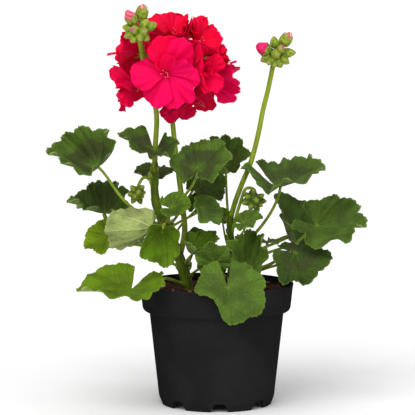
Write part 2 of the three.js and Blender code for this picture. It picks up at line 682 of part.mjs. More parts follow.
// Each head: stem and at, as for a leaf. stalk: points on its way up. core: the radius of its middle.
// sides: of each bud.
// buds: the way, the length and the thickness of each closed bud. open: those that have begun to open.
const BUD_HEADS = [
  {
    name: "bud_head_left", stem: "left", at: 0.985, radius: 2, steps: 9, axis: [-0.1, -0.1, 1], core: 5,
    sides: 4,
    stalk: [
      [-51.2, -8, 224], [-50.2, -11, 241], [-51.3, -14, 254], [-56.5, -16, 275], [-61.5, -17.5, 294],
      [-64.4, -30, 316],
    ],
    buds: [
      [[-0.95, -0.2, 0.28], 14.5, 3.7], [[-0.9, -0.3, -0.35], 13.7, 3.6],
      [[-0.5, -0.5, -0.75], 12.5, 3.6], [[0.15, -0.8, -0.6], 12.5, 3.6], [[0.9, -0.1, 0.38], 16.5, 4.2],
      [[0.5, -0.85, 0], 12.5, 4], [[0.55, -0.35, 0.72], 13.5, 4], [[-0.45, -0.85, 0.15], 13, 4],
      [[0.7, -0.3, -0.6], 12, 3.6], [[-0.6, 0.75, 0.1], 13, 3.8], [[0.5, 0.8, 0.1], 13, 3.8],
      [[0, 0.75, -0.55], 12, 3.6],
    ],
    open: [
      { name: "left_bud_a", dir: [-0.48, -0.28, 0.85], reach: 8.3, size: 4.5, length: 12 },
      { name: "left_bud_b", dir: [0.18, 0.12, 1], reach: 10, size: 4.7, length: 12.5 },
    ],
  },
  {
    name: "bud_head_right", stem: "right", at: 0.985, radius: 2, steps: 8, axis: [0.1, -0.1, 1], core: 5,
    sides: 4,
    stalk: [
      [15.5, 0, 171], [20.6, 0, 185], [29, 0, 206], [34.8, 0, 228], [39, 0, 249], [43.6, 0, 268],
      [49.2, 0, 296],
    ],
    buds: [
      [[-0.1, -0.1, 1], 15.5, 3.8], [[0.5, -0.65, 0.5], 13, 3.6], [[0.97, -0.1, 0.08], 17.5, 4],
      [[0.75, -0.35, -0.5], 15, 3.8], [[0.35, -0.4, -0.8], 13.5, 3.7], [[-0.1, -0.5, -0.85], 13, 3.6],
      [[0.05, -1, 0], 12, 4], [[-0.85, -0.3, -0.38], 14.5, 4], [[-0.5, -0.55, -0.65], 13, 3.8],
      [[-0.5, 0.8, 0.15], 13, 3.8], [[0.45, 0.85, 0.05], 13, 3.8], [[0, 0.8, -0.5], 12, 3.6],
    ],
    open: [
      { name: "right_bud_a", dir: [-0.88, -0.25, 0.42], reach: 7, size: 5.4, length: 10.8 },
      { name: "right_bud_b", dir: [0.58, 0.12, 0.8], reach: 9.5, size: 4.6, length: 12.5 },
    ],
  },
  {
    name: "young_head_left", stem: "left", at: 0.8, radius: 1.2, steps: 5, axis: [-0.1, -0.3, -1],
    core: 5.5, sides: 3,
    stalk: [
      [-57, -7, 191.5], [-61, -9, 193], [-65, -11, 188], [-67, -12, 180],
    ],
    buds: budBall(7, [-0.1, -0.3, -1], 15, 1.9, 9.2, 2.6),
  },
  {
    name: "young_head_right", stem: "right", at: 0.8, radius: 1.3, steps: 5, axis: [-0.1, -0.3, -1],
    core: 6.5, sides: 3,
    stalk: [
      [20, -8, 172], [25, -10, 184], [31.5, -12, 183], [31, -13, 174],
    ],
    buds: budBall(9, [-0.1, -0.3, -1], 17, 1.9, 10.5, 2.7),
  },
];

// ---- Pot and soil -------------------------------------------------------------------------------

// A turned solid from its outline, as pairs of radius and height.
function turned(outline) {
  const geometry = new THREE.LatheGeometry(outline.map(([r, z]) => new THREE.Vector2(r, z)), POT_SIDES);
  return toSolid(geometry.rotateX(Math.PI / 2));
}

const COLLAR_FOOT = POT_HEIGHT - COLLAR_HEIGHT;
const FLOOR_TOP = FLOOR_HEIGHT + POT_WALL;

// The inside of the pot from its floor up to its rim, which the soil follows too.
const POT_INSIDE = [
  [BODY_BASE_RADIUS - 2.2, FLOOR_TOP],
  [BODY_BASE_RADIUS - POT_WALL, FLOOR_TOP + 1.6],
  [BODY_TOP_RADIUS - POT_WALL, COLLAR_FOOT - 0.6],
  [RIM_RADIUS - 4.2, COLLAR_FOOT + 0.6],
  [RIM_RADIUS - POT_WALL, POT_HEIGHT],
];

function makePot() {
  const outside = [
    [0, 0], [PAD_RADIUS, 0], [PAD_RADIUS + 0.6, FLOOR_HEIGHT],
    [FOOT_RADIUS - 1.6, FLOOR_HEIGHT], [FOOT_RADIUS - 1.3, 0], [FOOT_RADIUS, 0],
    [BODY_BASE_RADIUS, 6.8], [BODY_TOP_RADIUS, COLLAR_FOOT - 2.2],
    [RIM_RADIUS - 3.6, COLLAR_FOOT - 1], [RIM_RADIUS - 2.3, COLLAR_FOOT + 1], [RIM_RADIUS, POT_HEIGHT],
  ];
  const body = turned([...outside, ...POT_INSIDE.toReversed(), [0, FLOOR_TOP]]);
  const cutters = Array.from({ length: NOTCHES }, (_, i) => {
    const { width, height, inner, turn } = NOTCH;
    const outline = new THREE.Shape();
    outline.moveTo(-width * 0.62, -1).lineTo(-width * 0.36, height + 1.2);
    outline.lineTo(width * 0.36, height + 1.2).lineTo(width * 0.62, -1);
    const slot = new THREE.ExtrudeGeometry(outline, { depth: 14, bevelEnabled: false });
    slot.rotateX(Math.PI / 2).translate(0, -inner, 0);
    return toSolid(slot.rotateZ((i * 360 / NOTCHES + turn) * DEGREE));
  });
  return body.subtract(join(cutters));
}

function makeSoil(stems) {
  const sides = POT_INSIDE.slice(0, -1).map(([r, z]) => [r - SEAT_GAP, z + SEAT_GAP]);
  const rimShare = (SOIL_TOP - COLLAR_FOOT) / COLLAR_HEIGHT;
  const topRadius = RIM_RADIUS - 4.2 + rimShare * (4.2 - POT_WALL) - SEAT_GAP;
  const surface = [[topRadius, SOIL_TOP - 1], [38, SOIL_TOP + 0.5], [0, SOIL_TOP + 1]];
  const outline = [[0, FLOOR_TOP + SEAT_GAP], ...sides, ...surface];
  const solid = turned(outline).warp((v) => {
    const bumps = Math.sin(v[0] * 0.9) * Math.cos(v[1] * 0.7 + v[0] * 0.3);
    if (v[2] > SOIL_TOP - 0.5) v[2] += 0.8 * bumps;
  });
  return Object.values(stems).reduce((left, { clearance }) => left.subtract(clearance), solid);
}

// ---- The whole plant ----------------------------------------------------------------------------

function materialFor(colour, roughness = 0.6) {
  return new THREE.MeshStandardMaterial({ color: colour, roughness, metalness: 0 });
}

function addPiece(group, name, solid, material) {
  const geometry = toGeometry(solid);
  geometry.computeVertexNormals();
  const mesh = new THREE.Mesh(geometry, material);
  mesh.name = name;
  group.add(mesh);
}

function leafColour({ name }) {
  if (YOUNG_LEAVES.includes(name)) return COLOURS.leafBright;
  return OLD_LEAVES.includes(name) ? COLOURS.leafDark : COLOURS.leaf;
}

function buildPlant() {
  const plant = new THREE.Group();
  const stems = { left: makeStem(STEMS.left), right: makeStem(STEMS.right) };
  addPiece(plant, "pot", makePot(), materialFor(COLOURS.pot, 0.45));
  addPiece(plant, "soil", makeSoil(stems), materialFor(COLOURS.soil, 1));
  for (const [side, { solid }] of Object.entries(stems)) {
    addPiece(plant, `stem_${side}`, solid, materialFor(COLOURS.stem));
  }
  LEAVES.forEach((leaf, number) => {
    const random = draws(number + 11);
    const ruffled = Math.min(1, leaf.size / FULL_WAVE_SIZE);
    const wave = (LEAF_WAVE.least + LEAF_WAVE.more * random()) * ruffled;
    const shaped = { ...leaf, wave, phase: 6.3 * random() };
    addPiece(plant, `leaf_${leaf.name}`, makeLeaf(shaped, stems), materialFor(leafColour(leaf)));
  });
  addPiece(plant, "flower_head_stalk", makeHeadStalk(stems.left), materialFor(COLOURS.stem));
  FLORETS.forEach((floret, number) => {
    const solid = makeFloret(floret, draws(number + 71));
    addPiece(plant, `floret_${floret.name}`, solid, materialFor(COLOURS.petal, 0.5));
  });
  for (const head of BUD_HEADS) {
    addPiece(plant, head.name, makeBudHead(head, stems[head.stem]), materialFor(COLOURS.budGreen));
    for (const bud of head.open ?? []) {
      addPiece(plant, bud.name, makeOpenBud(head, bud), materialFor(COLOURS.bud, 0.5));
    }
  }
  return plant;
}

export default buildPlant();
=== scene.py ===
"""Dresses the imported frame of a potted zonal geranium. Lengths are millimetres until a mesh is made."""
import itertools
from math import pi, radians

import bpy
import numpy as np
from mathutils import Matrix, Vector, noise


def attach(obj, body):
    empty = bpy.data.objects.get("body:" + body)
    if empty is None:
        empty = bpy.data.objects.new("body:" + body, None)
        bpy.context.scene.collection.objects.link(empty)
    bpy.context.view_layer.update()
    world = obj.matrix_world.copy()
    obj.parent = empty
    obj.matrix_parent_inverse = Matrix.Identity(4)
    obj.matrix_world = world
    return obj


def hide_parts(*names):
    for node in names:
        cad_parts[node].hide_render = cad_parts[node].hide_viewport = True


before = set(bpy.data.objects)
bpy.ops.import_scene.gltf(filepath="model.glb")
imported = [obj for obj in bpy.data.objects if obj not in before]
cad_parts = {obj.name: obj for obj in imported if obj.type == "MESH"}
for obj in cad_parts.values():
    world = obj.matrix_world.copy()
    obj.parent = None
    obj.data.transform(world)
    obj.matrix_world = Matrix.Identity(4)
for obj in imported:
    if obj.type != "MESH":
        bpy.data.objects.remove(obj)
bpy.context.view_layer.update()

MM = 0.001
BRACT_THICKNESS = 0.35

# ---- Vectors, curves and random draws ----


def vec(*numbers):
    return np.array(numbers, float)


def unit(vectors):
    vectors = np.asarray(vectors, float)
    return vectors / np.maximum(np.linalg.norm(vectors, axis=-1, keepdims=True), 1e-12)


def gather(*columns):
    """One array of vectors from arrays or numbers for their parts."""
    return np.stack(np.broadcast_arrays(*columns), axis=-1)


def ease(values, low=0.0, high=1.0):
    """0 below low, 1 above high, and smooth between them."""
    way = np.clip((np.asarray(values, float) - low) / (high - low), 0, 1)
    return way * way * (3 - 2 * way)


def peak(values, width):
    """A bell curve: 1 where a value is 0."""
    return np.exp(-((values / width) ** 2))


def draws(seed):
    """The same draws on each run, from 0 to 1, as the solids' source makes them."""
    state = seed * 7919 + 17
    while True:
        state = state * 16807 % 2147483647
        yield state / 2147483647


class Frame:
    """Three unit vectors at right angles: the way a blade's middle points, its left side, its upper face."""

    def __init__(self, tip, face):
        self.tip = unit(tip)
        face = np.asarray(face, float)
        self.face = unit(face - self.tip * (face @ self.tip))
        self.left = np.cross(self.face, self.tip)

    def place(self, origin, angle, out, up):
        """Points at an angle round the frame's face, out from the origin and up from it."""
        spoke = np.cos(angle)[..., None] * self.tip + np.sin(angle)[..., None] * self.left
        return origin + out[..., None] * spoke + up[..., None] * self.face

    def spoke(self, turn):
        """The way straight out from the tip, as from an axis, at a turn from the face."""
        return np.cos(turn)[..., None] * self.face + np.sin(turn)[..., None] * self.left


def climb(slopes, length):
    """How far out and up a line comes by steps of one length, from their slopes in degrees."""
    out, up = np.zeros(length.shape), np.zeros(length.shape)
    for slope in np.radians(slopes):
        out += np.cos(slope) * length
        up += np.sin(slope) * length
    return out, up


def frame_round(axis):
    """A frame whose tip is an axis. It faces the top, or the back where the axis is steep."""
    return Frame(axis, vec(0, 1, 0) if abs(axis[2]) > 0.9 else vec(0, 0, 1))


def smooth_curve(points, samples=240):
    """Points along the same centripetal Catmull-Rom curve that the solids follow."""
    points = np.asarray(points, float)
    points = np.vstack([2 * points[0] - points[1], points, 2 * points[-1] - points[-2]])
    spans = np.linalg.norm(np.diff(points, axis=0), axis=1) ** 0.5
    curve = []
    for i in range(1, len(points) - 2):
        (a, b, c, d), (before, span, after) = points[i - 1 : i + 3], spans[i - 1 : i + 2]
        start = ((b - a) / before - (c - a) / (before + span) + (c - b) / span) * span
        end = ((c - b) / span - (d - b) / (span + after) + (d - c) / after) * span
        t = np.linspace(0, 1, samples // (len(points) - 3) + 2)[:, None]
        cubic = (2 * b - 2 * c + start + end) * t**3 + (3 * c - 3 * b - 2 * start - end) * t**2
        curve.append(cubic + start * t + b)
    joined = np.vstack(curve)
    keep = np.append(True, np.linalg.norm(np.diff(joined, axis=0), axis=1) > 1e-6)
    return joined[keep]


def shares(count):
    """Evenly spaced shares, from 0 to 1."""
    return np.linspace(0, 1, count)


def bezier_curve(a, b, c, d, samples=120):
    t = shares(samples)[:, None]
    return a * (1 - t) ** 3 + 3 * b * t * (1 - t) ** 2 + 3 * c * t**2 * (1 - t) + d * t**3


def along_curve(curve, ways):
    """The points at these shares of a curve's length."""
    lengths = np.append(0, np.cumsum(np.linalg.norm(np.diff(curve, axis=0), axis=1)))
    return gather(*(np.interp(ways, lengths / lengths[-1], axis) for axis in curve.T))


# ---- Shapes under construction ----


class Shape:
    """Points and faces of a piece. Each point has a place on its part and a tint, which materials read."""

    def __init__(self):
        self.points, self.places, self.tints, self.faces, self.slots = [], [], [], [], []
        self.count = 0

    def add(self, points, faces, slot=0, place=0.0, tint=0.0):
        points = np.asarray(points, float).reshape(-1, 3)
        self.points.append(points)
        self.places.append(np.broadcast_to(place, points.shape))
        self.tints.append(np.broadcast_to(tint, points.shape))
        self.faces += [[self.count + corner for corner in face] for face in faces]
        self.slots += [slot] * len(faces) if np.isscalar(slot) else list(slot)
        self.count += len(points)

    def make(self, name, materials, nodes=(), slot=None):
        """The finished piece, which rides on the root body and stands for these nodes."""
        mesh = bpy.data.meshes.new(name)
        mesh.from_pydata(np.vstack(self.points) * MM, [], self.faces)
        for material in materials:
            mesh.materials.append(material)
        mesh.polygons.foreach_set("material_index", self.slots)
        mesh.polygons.foreach_set("use_smooth", [True] * len(self.faces))
        for title, rows in (("place", self.places), ("tint", self.tints)):
            values = mesh.attributes.new(title, "FLOAT_VECTOR", "POINT")
            values.data.foreach_set("vector", np.vstack(rows).astype(np.float32).ravel())
        mesh.validate()
        piece = bpy.data.objects.new(name, mesh)
        bpy.context.scene.collection.objects.link(piece)
        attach(piece, "root")
        if nodes:
            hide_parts(*nodes)
        return piece


def quads(index):
    """Faces between neighbours in a grid of point numbers. They look to rows cross columns."""
    corners = gather(index[:-1, :-1], index[1:, :-1], index[1:, 1:], index[:-1, 1:])
    return corners.reshape(-1, 4).tolist()


def add_rings(shape, rings, ends, **finish):
    """A closed skin over rings of points that run the same way round, and over a point at either end."""
    rows, sides = rings.shape[:2]
    count = rows * sides
    index = np.arange(count).reshape(rows, sides)
    index = np.hstack([index, index[:, :1]])
    faces = [face[::-1] for face in quads(index)]
    for k in range(sides):
        faces += [(index[0, k + 1], index[0, k], count), (index[-1, k], index[-1, k + 1], count + 1)]
    shape.add(np.vstack([rings.reshape(-1, 3), ends]), faces, **finish)


def sheet_normals(grid):
    normals = np.cross(np.gradient(grid, axis=0), np.gradient(grid, axis=1))
    if np.linalg.norm(grid[0, 0] - grid[0, -1]) < 1e-9:
        normals[0] = unit(normals[1]).mean(axis=0)
    return unit(normals)


def add_sheet(shape, grid, thickness, slots=(0, 0), place=0.0, tint=0.0):
    """A thin closed skin round a grid of points whose first row is one point, where all rows meet."""
    normals = sheet_normals(grid) * np.asarray(thickness)[..., None] / 2
    rows, columns = grid.shape[:2]
    count = (rows - 1) * columns + 1
    index = np.arange(1, count).reshape(rows - 1, columns)
    keep = np.append(0, np.arange(columns, rows * columns))
    upper, lower = ((grid + side * normals).reshape(-1, 3)[keep] for side in (1, -1))
    faces = [(index[0, k], index[0, k + 1], 0) for k in range(columns - 1)] + quads(index)
    under = [[corner + count for corner in face[::-1]] for face in faces]
    border = [0, *index[:, 0], *index[-1, 1:], *index[-2::-1, -1]]
    walls = [(b, a, a + count, b + count) for a, b in zip(border, border[1:] + border[:1])]
    slot = [slots[0]] * len(faces) + [slots[1]] * len(under) + [slots[0]] * len(walls)
    spread = np.broadcast_to(place, grid.shape).reshape(-1, 3)[keep]
    shape.add(np.vstack([upper, lower]), faces + under + walls, slot, np.vstack([spread, spread]), tint)


def side_vectors(curve):
    """Two vectors at right angles to a curve at each of its points, which turn as little as they can."""
    tangents = unit(np.gradient(curve, axis=0))
    start = vec(0, 0, 1) if abs(tangents[0, 2]) < 0.9 else vec(1, 0, 0)
    first = [unit(start - tangents[0] * (start @ tangents[0]))]
    for tangent in tangents[1:]:
        first.append(unit(first[-1] - tangent * (first[-1] @ tangent)))
    first = np.array(first)
    return first, np.cross(tangents, first)


def add_tube(shape, curve, radii, sides=12, slot=0, ribs=0, rib_depth=0.0, twist=0.0, tint=0.0):
    """A round or ribbed stem along a curve, closed at both ends. Its place is share, turn and radius."""
    u, v = side_vectors(curve)
    way = shares(len(curve))[:, None]
    turns = 2 * pi * np.arange(sides) / sides
    radii = np.broadcast_to(radii, len(curve))[:, None]
    reach = radii * (1 + rib_depth * np.cos(ribs * turns + twist * way))
    spokes = np.cos(turns)[:, None] * u[:, None] + np.sin(turns)[:, None] * v[:, None]
    rings = curve[:, None] + reach[..., None] * spokes
    place = gather(way, turns / (2 * pi), radii).reshape(-1, 3)
    places = np.vstack([place, [0, 0, radii[0, 0]], [1, 0, radii[-1, 0]]])
    add_rings(shape, rings, curve[[0, -1]], slot=slot, place=places, tint=tint)


def add_spindle(shape, start, direction, stations, sides=12, **finish):
    """A straight turned form, from pairs of distance and radius."""
    way, radii = np.array(stations, float).T
    add_tube(shape, start + unit(direction) * way[:, None], radii, sides, **finish)


def add_bract(shape, origin, tip, face, length, width, cup, bend, slots, **finish):
    """A small pointed blade, such as a sepal or a stipule. cup and bend are in degrees."""
    rest = Frame(tip, face)
    way = shares(9)[:, None]
    side = np.linspace(-1, 1, 7)
    half = width / 2 * (np.sin(pi * way**0.75) ** 0.8 * (1 - 0.35 * way) + 0.02)
    slope = radians(bend) * way[1:]
    step = length / (len(way) - 1)
    out = np.append(0, np.cumsum(np.cos(slope) * step))[:, None, None]
    up = np.append(0, np.cumsum(np.sin(slope) * step))[:, None, None]
    lift = radians(cup) * side**2
    grid = origin + out * rest.tip + up * rest.face
    grid = grid + (half * side * np.cos(lift))[..., None] * rest.left
    grid = grid + (half * np.abs(side) * np.sin(lift))[..., None] * rest.face
    grid[0] = origin
    place = gather(way * length, np.abs(side) * half, way)
    add_sheet(shape, grid, BRACT_THICKNESS, slots, place, **finish)


# ---- Materials ----


def shade(colour):
    """A colour from its values on screen, from 0 to 255. A node's output stays as it is."""
    if isinstance(colour, bpy.types.NodeSocket):
        return colour
    screen = np.array(colour) / 255
    linear = np.where(screen <= 0.04045, screen / 12.92, ((screen + 0.055) / 1.055) ** 2.4)
    return (*map(float, linear), 1.0)


class Surface:
    """A material's nodes, made and linked with few words. sheen: its weight and its roughness."""

    def __init__(self, name, roughness, specular=0.5, sheen=(0.0, 0.5)):
        self.material = bpy.data.materials.new(name)
        self.material.use_nodes = True
        self.tree = self.material.node_tree
        self.shader = self.tree.nodes["Principled BSDF"]
        self.shader.inputs["Roughness"].default_value = roughness
        self.shader.inputs["Specular IOR Level"].default_value = specular
        self.shader.inputs["Sheen Weight"].default_value = sheen[0]
        self.shader.inputs["Sheen Roughness"].default_value = sheen[1]
        self.object = self.add("TexCoord").outputs["Object"]

    def add(self, kind, values=(), **settings):
        """A node. values: each input's name or number, with a number, a colour or another node's output."""
        node = self.tree.nodes.new("ShaderNode" + kind)
        for key, value in settings.items():
            setattr(node, key, value)
        for key, value in dict(values).items():
            self.put(node.inputs[key], value)
        return node

    def put(self, socket, value):
        if isinstance(value, bpy.types.NodeSocket):
            self.tree.links.new(value, socket)
        else:
            socket.default_value = value

    def set(self, name, value):
        self.put(self.shader.inputs[name], value)

    def attribute(self, name):
        """The three parts of a place or a tint."""
        node = self.add("Attribute", attribute_name=name)
        return self.add("SeparateXYZ", {0: node.outputs["Vector"]}).outputs

    def join(self, *parts):
        return self.add("CombineXYZ", enumerate(parts)).outputs[0]

    def maths(self, operation, *values):
        return self.add("Math", enumerate(values), operation=operation).outputs[0]

    def times(self, first, second):
        return self.maths("MULTIPLY", first, second)

    def step(self, value, low, high, start=0.0, end=1.0):
        """start below low, end above high, and smooth between them."""
        values = {"Value": value, "From Min": low, "From Max": high, "To Min": start, "To Max": end}
        return self.add("MapRange", values, interpolation_type="SMOOTHSTEP").outputs[0]

    def mix(self, share, first, second, blend="MIX"):
        values = {0: share, 6: shade(first), 7: shade(second)}
        return self.add("Mix", values, data_type="RGBA", blend_type=blend).outputs[2]

    def coat(self, share, colour):
        """Lays a colour over the one so far, by a share from 0 to 1."""
        self.colour = self.mix(share, self.colour, colour)

    def ramp(self, value, *stops):
        node = self.add("ValToRGB", {0: value})
        elements = node.color_ramp.elements
        while len(elements) < len(stops):
            elements.new(0.5)
        for element, (position, colour) in zip(elements, stops):
            element.position = position
            element.color = shade(colour)
        return node.outputs[0]

    def noise(self, scale, detail=3.0, vector=None, distortion=0.0):
        values = {"Vector": vector or self.object, "Scale": scale, "Detail": detail, "Distortion": distortion}
        return self.add("TexNoise", values).outputs[0]

    def net(self, scale):
        """The distance to the nearest edge in a network of cells."""
        values = {"Vector": self.object, "Scale": scale}
        return self.add("TexVoronoi", values, feature="DISTANCE_TO_EDGE").outputs["Distance"]

    def finish(self, *layers):
        """The material in its colour, with bumps from pairs of height and depth, in millimetres."""
        normal = {}
        for height, depth in layers:
            bump = self.add("Bump", {"Height": height, "Distance": depth * MM, **normal})
            normal = {"Normal": bump.outputs[0]}
        for key, value in {"Base Color": self.colour, **normal}.items():
            self.set(key, value)
        return self.material


def blade_surface(name, tones, zone_colour, vein_colour, vein_share, roughness):
    """A leaf's upper or lower side. tones: its colour from the oldest leaf to the youngest; a low tone also
    paints shade on leaves that lie deep in the plant.
    """
    skin = Surface(name, roughness, specular=0.08, sheen=(0.02, 0.5))
    along, across, share = skin.attribute("place")
    tone, zone, _ = skin.attribute("tint")
    width = skin.step(share, 0.0, 1.0, 0.9, 0.3)
    main = skin.maths("SUBTRACT", 1.0, skin.step(skin.maths("DIVIDE", across, width), 0.1, 1.0))
    slant = skin.maths("SUBTRACT", along, skin.times(across, BRANCH_SLANT))
    rank = skin.maths("FRACT", skin.maths("DIVIDE", slant, BRANCH_SPACING))
    nearness = skin.maths("ABSOLUTE", skin.maths("SUBTRACT", rank, 0.5))
    side = skin.step(nearness, 0.42, 0.5)
    network = skin.step(skin.net(420.0), 0.0, 0.14, 1.0, 0.0)
    veins = skin.maths("MAXIMUM", main, skin.times(side, 0.55))
    veins = skin.maths("MAXIMUM", veins, skin.times(network, 0.22))
    blotches = skin.noise(70.0, 4.0)
    grain = skin.noise(900.0, 2.0)
    # The blotches make the blade lighter and darker in patches: partly the leaf's own uneven colour, partly
    # painted light and shade for lit spots and shaded folds.
    light = skin.step(blotches, 0.3, 0.7, 0.68, 1.28)
    skin.colour = skin.mix(1.0, skin.ramp(tone, *tones), skin.join(light, light, light), "MULTIPLY")
    edge = skin.maths("ADD", share, skin.times(skin.maths("SUBTRACT", blotches, 0.5), 0.35))
    band = skin.times(skin.step(edge, 0.16, 0.34), skin.step(edge, 0.58, 0.74, 1.0, 0.0))
    skin.coat(skin.times(band, zone), zone_colour)
    rim = skin.step(share, 0.94, 1.0, 0.0, 0.75)
    heart = skin.step(share, 0.0, 0.14, 0.5, 0.0)
    skin.coat(skin.maths("MAXIMUM", rim, heart), skin.mix(0.5, skin.colour, vein_colour))
    skin.coat(skin.times(veins, vein_share), vein_colour)
    skin.coat(skin.times(grain, 0.02), (190, 205, 130))
    skin.set("Roughness", skin.step(blotches, 0.2, 0.8, roughness - 0.06, roughness + 0.08))
    return skin.finish((veins, -0.5), (skin.noise(230.0), 0.9), (grain, 0.12))


def stalk_surface(name, low, high, blush):
    """A hairy green stem. low and high: its colours in the hollows and on the ridges."""
    skin = Surface(name, 0.5, specular=0.15, sheen=(0.1, 0.45))
    tone, red, _ = skin.attribute("tint")
    streaks = skin.add("Mapping", {"Vector": skin.object, "Scale": (260.0, 260.0, 30.0)}).outputs[0]
    lines = skin.noise(1.0, vector=streaks)
    hairs = skin.noise(2600.0, 1.0)
    skin.colour = skin.mix(skin.step(lines, 0.3, 0.7), low, high)
    skin.coat(skin.times(skin.step(skin.noise(45.0), 0.45, 0.7), red), blush)
    skin.coat(tone, (92, 110, 38))
    skin.coat(skin.step(hairs, 0.62, 0.8, 0.0, 0.1), (212, 222, 150))
    return skin.finish((lines, 0.35), (hairs, 0.12))


def petal_surface():
    skin = Surface("petal", 0.55, specular=0.05, sheen=(0.01, 0.4))
    skin.set("Sheen Tint", shade((255, 60, 130)))
    across, share, _ = skin.attribute("place")
    pink, deep, seed = skin.attribute("tint")
    streaks = skin.noise(2.2, 4.0, skin.join(skin.times(across, 9.0), share, seed), 0.6)
    blotches = skin.noise(90.0)
    skin.colour = skin.mix(pink, (230, 0, 36), (234, 0, 82))
    lines = skin.times(skin.step(streaks, 0.35, 0.7, 0.0, 0.4), skin.maths("ADD", pink, 0.2))
    skin.coat(lines, (246, 20, 110))
    # Painted shade: a darker crimson laid over each petal by the second part of its tint, most on the florets
    # that face down or up.
    skin.coat(skin.times(deep, 0.6), (184, 0, 64))
    skin.coat(skin.step(share, 0.0, 0.3, 0.55, 0.0), (190, 4, 60))
    skin.coat(skin.step(blotches, 0.4, 0.75, 0.0, 0.3), (222, 2, 50))
    return skin.finish((streaks, 0.3), (skin.noise(1500.0, 2.0), 0.08))


def opening_surface():
    """Petals still rolled up: crimson, with pale streaks where a bud has yet to colour."""
    skin = Surface("opening_petal", 0.5, specular=0.25, sheen=(0.06, 0.5))
    share, turn, _ = skin.attribute("place")
    pale = skin.attribute("tint")[0]
    swirl = skin.maths("ADD", skin.times(turn, 5.0), skin.times(share, 2.5))
    bands = skin.maths("ABSOLUTE", skin.maths("SUBTRACT", skin.maths("FRACT", swirl), 0.5))
    blotches = skin.noise(300.0)
    skin.colour = skin.mix(skin.step(blotches, 0.3, 0.7), (206, 0, 74), (236, 24, 112))
    skin.coat(skin.step(bands, 0.4, 0.5, 0.0, 0.7), (120, 0, 44))
    faded = skin.times(pale, skin.step(bands, 0.12, 0.34, 1.0, 0.25))
    skin.coat(faded, (226, 186, 150))
    return skin.finish((bands, 0.5), (blotches, 0.2))


def bud_surface():
    """Green sepals, paler on their ridges and blushed at their tips."""
    skin = Surface("bud", 0.5, specular=0.15, sheen=(0.06, 0.4))
    share = skin.attribute("place")[0]
    tone, red, _ = skin.attribute("tint")
    blotches = skin.noise(420.0)
    hairs = skin.noise(2400.0, 1.0)
    skin.colour = skin.mix(skin.step(blotches, 0.35, 0.7), (90, 112, 14), (150, 166, 50))
    # A darker green by the tone: the buds' own colour, and on the right young head partly painted shade too.
    skin.coat(skin.times(tone, 0.75), (50, 78, 12))
    skin.coat(skin.step(share, 0.5, 1.0, 0.0, 0.35), (180, 190, 88))
    skin.coat(skin.times(skin.step(share, 0.72, 0.95), red), (176, 84, 116))
    skin.coat(skin.step(hairs, 0.6, 0.8, 0.0, 0.2), (226, 230, 180))
    return skin.finish((blotches, 0.3), (hairs, 0.15))


def plastic_surface():
    skin = Surface("black_plastic", 0.6, specular=0.0)
    wear = skin.noise(24.0, 5.0, distortion=0.4)
    dust = skin.noise(700.0, 2.0)
    skin.colour = skin.mix(skin.step(wear, 0.35, 0.7), (30, 30, 31), (36, 36, 37))
    skin.coat(skin.step(dust, 0.68, 0.8, 0.0, 0.12), (60, 56, 53))
    skin.set("Roughness", skin.step(wear, 0.3, 0.7, 0.55, 0.65))
    return skin.finish((skin.noise(1800.0, 2.0), 0.04), (skin.noise(60.0, 2.0), 0.25))


def soil_surface():
    skin = Surface("soil", 0.95, specular=0.2)
    pale = skin.attribute("tint")[1]
    crumbs = skin.noise(650.0, 5.0)
    lumps = skin.noise(160.0, 4.0)
    skin.colour = skin.ramp(crumbs, (0.3, (28, 17, 13)), (0.5, (66, 40, 30)), (0.75, (112, 68, 50)))
    skin.coat(skin.step(lumps, 0.4, 0.65, 0.0, 0.6), (40, 25, 20))
    skin.coat(skin.times(pale, 0.7), (150, 112, 78))
    return skin.finish((lumps, 1.2), (crumbs, 0.6))


def stamen_surface():
    skin = Surface("stamen", 0.5)
    share = skin.attribute("place")[0]
    grains = skin.noise(1500.0, 2.0)
    skin.colour = skin.mix(skin.step(share, 0.5, 1.0), (244, 60, 110), (250, 140, 120))
    skin.coat(skin.step(grains, 0.4, 0.7, 0.0, 0.5), (226, 60, 84))
    return skin.finish((grains, 0.1))


BRANCH_SPACING = 5.0
BRANCH_SLANT = 1.15
GREENS = ((0.0, (46, 66, 18)), (0.3, (72, 98, 30)), (0.7, (80, 110, 2)), (1.0, (116, 144, 2)))
PALES = ((0.0, (78, 104, 44)), (0.5, (106, 130, 56)), (0.75, (134, 150, 72)), (1.0, (166, 178, 118)))
BLADE_TOP = blade_surface("leaf_top", GREENS, (50, 50, 32), (108, 138, 44), 0.34, 0.46)
BLADE_UNDER = blade_surface("leaf_under", PALES, (80, 98, 50), (196, 212, 140), 0.5, 0.6)
STALK = stalk_surface("stalk", (104, 130, 18), (144, 164, 40), (120, 100, 40))
STEM = stalk_surface("stem", (58, 82, 2), (96, 122, 10), (78, 70, 20))
PETAL = petal_surface()
OPENING = opening_surface()
BUD = bud_surface()
PLASTIC = plastic_surface()
SOIL = soil_surface()
STAMEN = stamen_surface()

# ---- Pot and soil ----

POT_HEIGHT = 103.0
RIM_RADIUS = 65.0
COLLAR_FOOT = POT_HEIGHT - 22.0
BODY_TOP_RADIUS = 56.9
BODY_BASE_RADIUS = 49.0
FOOT_RADIUS = 46.4
POT_WALL = 1.4
FLOOR_HEIGHT = 5.0
FLOOR_TOP = FLOOR_HEIGHT + POT_WALL
PAD_RADIUS = 10.0
NOTCHES = 8
NOTCH_TURN = 2.6
NOTCH_SECTION = [(7.75, -1), (4.5, 7.2), (-4.5, 7.2), (-7.75, -1)]
NOTCH_REACH = (37, 51)
SHARP_ANGLE = 38
SOIL_TOP = 96.5
SOIL_MIDDLE = SOIL_TOP + 0.6
SOIL_RADIUS = 61.5
SOIL_DOME = 0.00018
CRUMBS = 520
BARK_SHARE = 0.14
TURNED_SIDES = 144


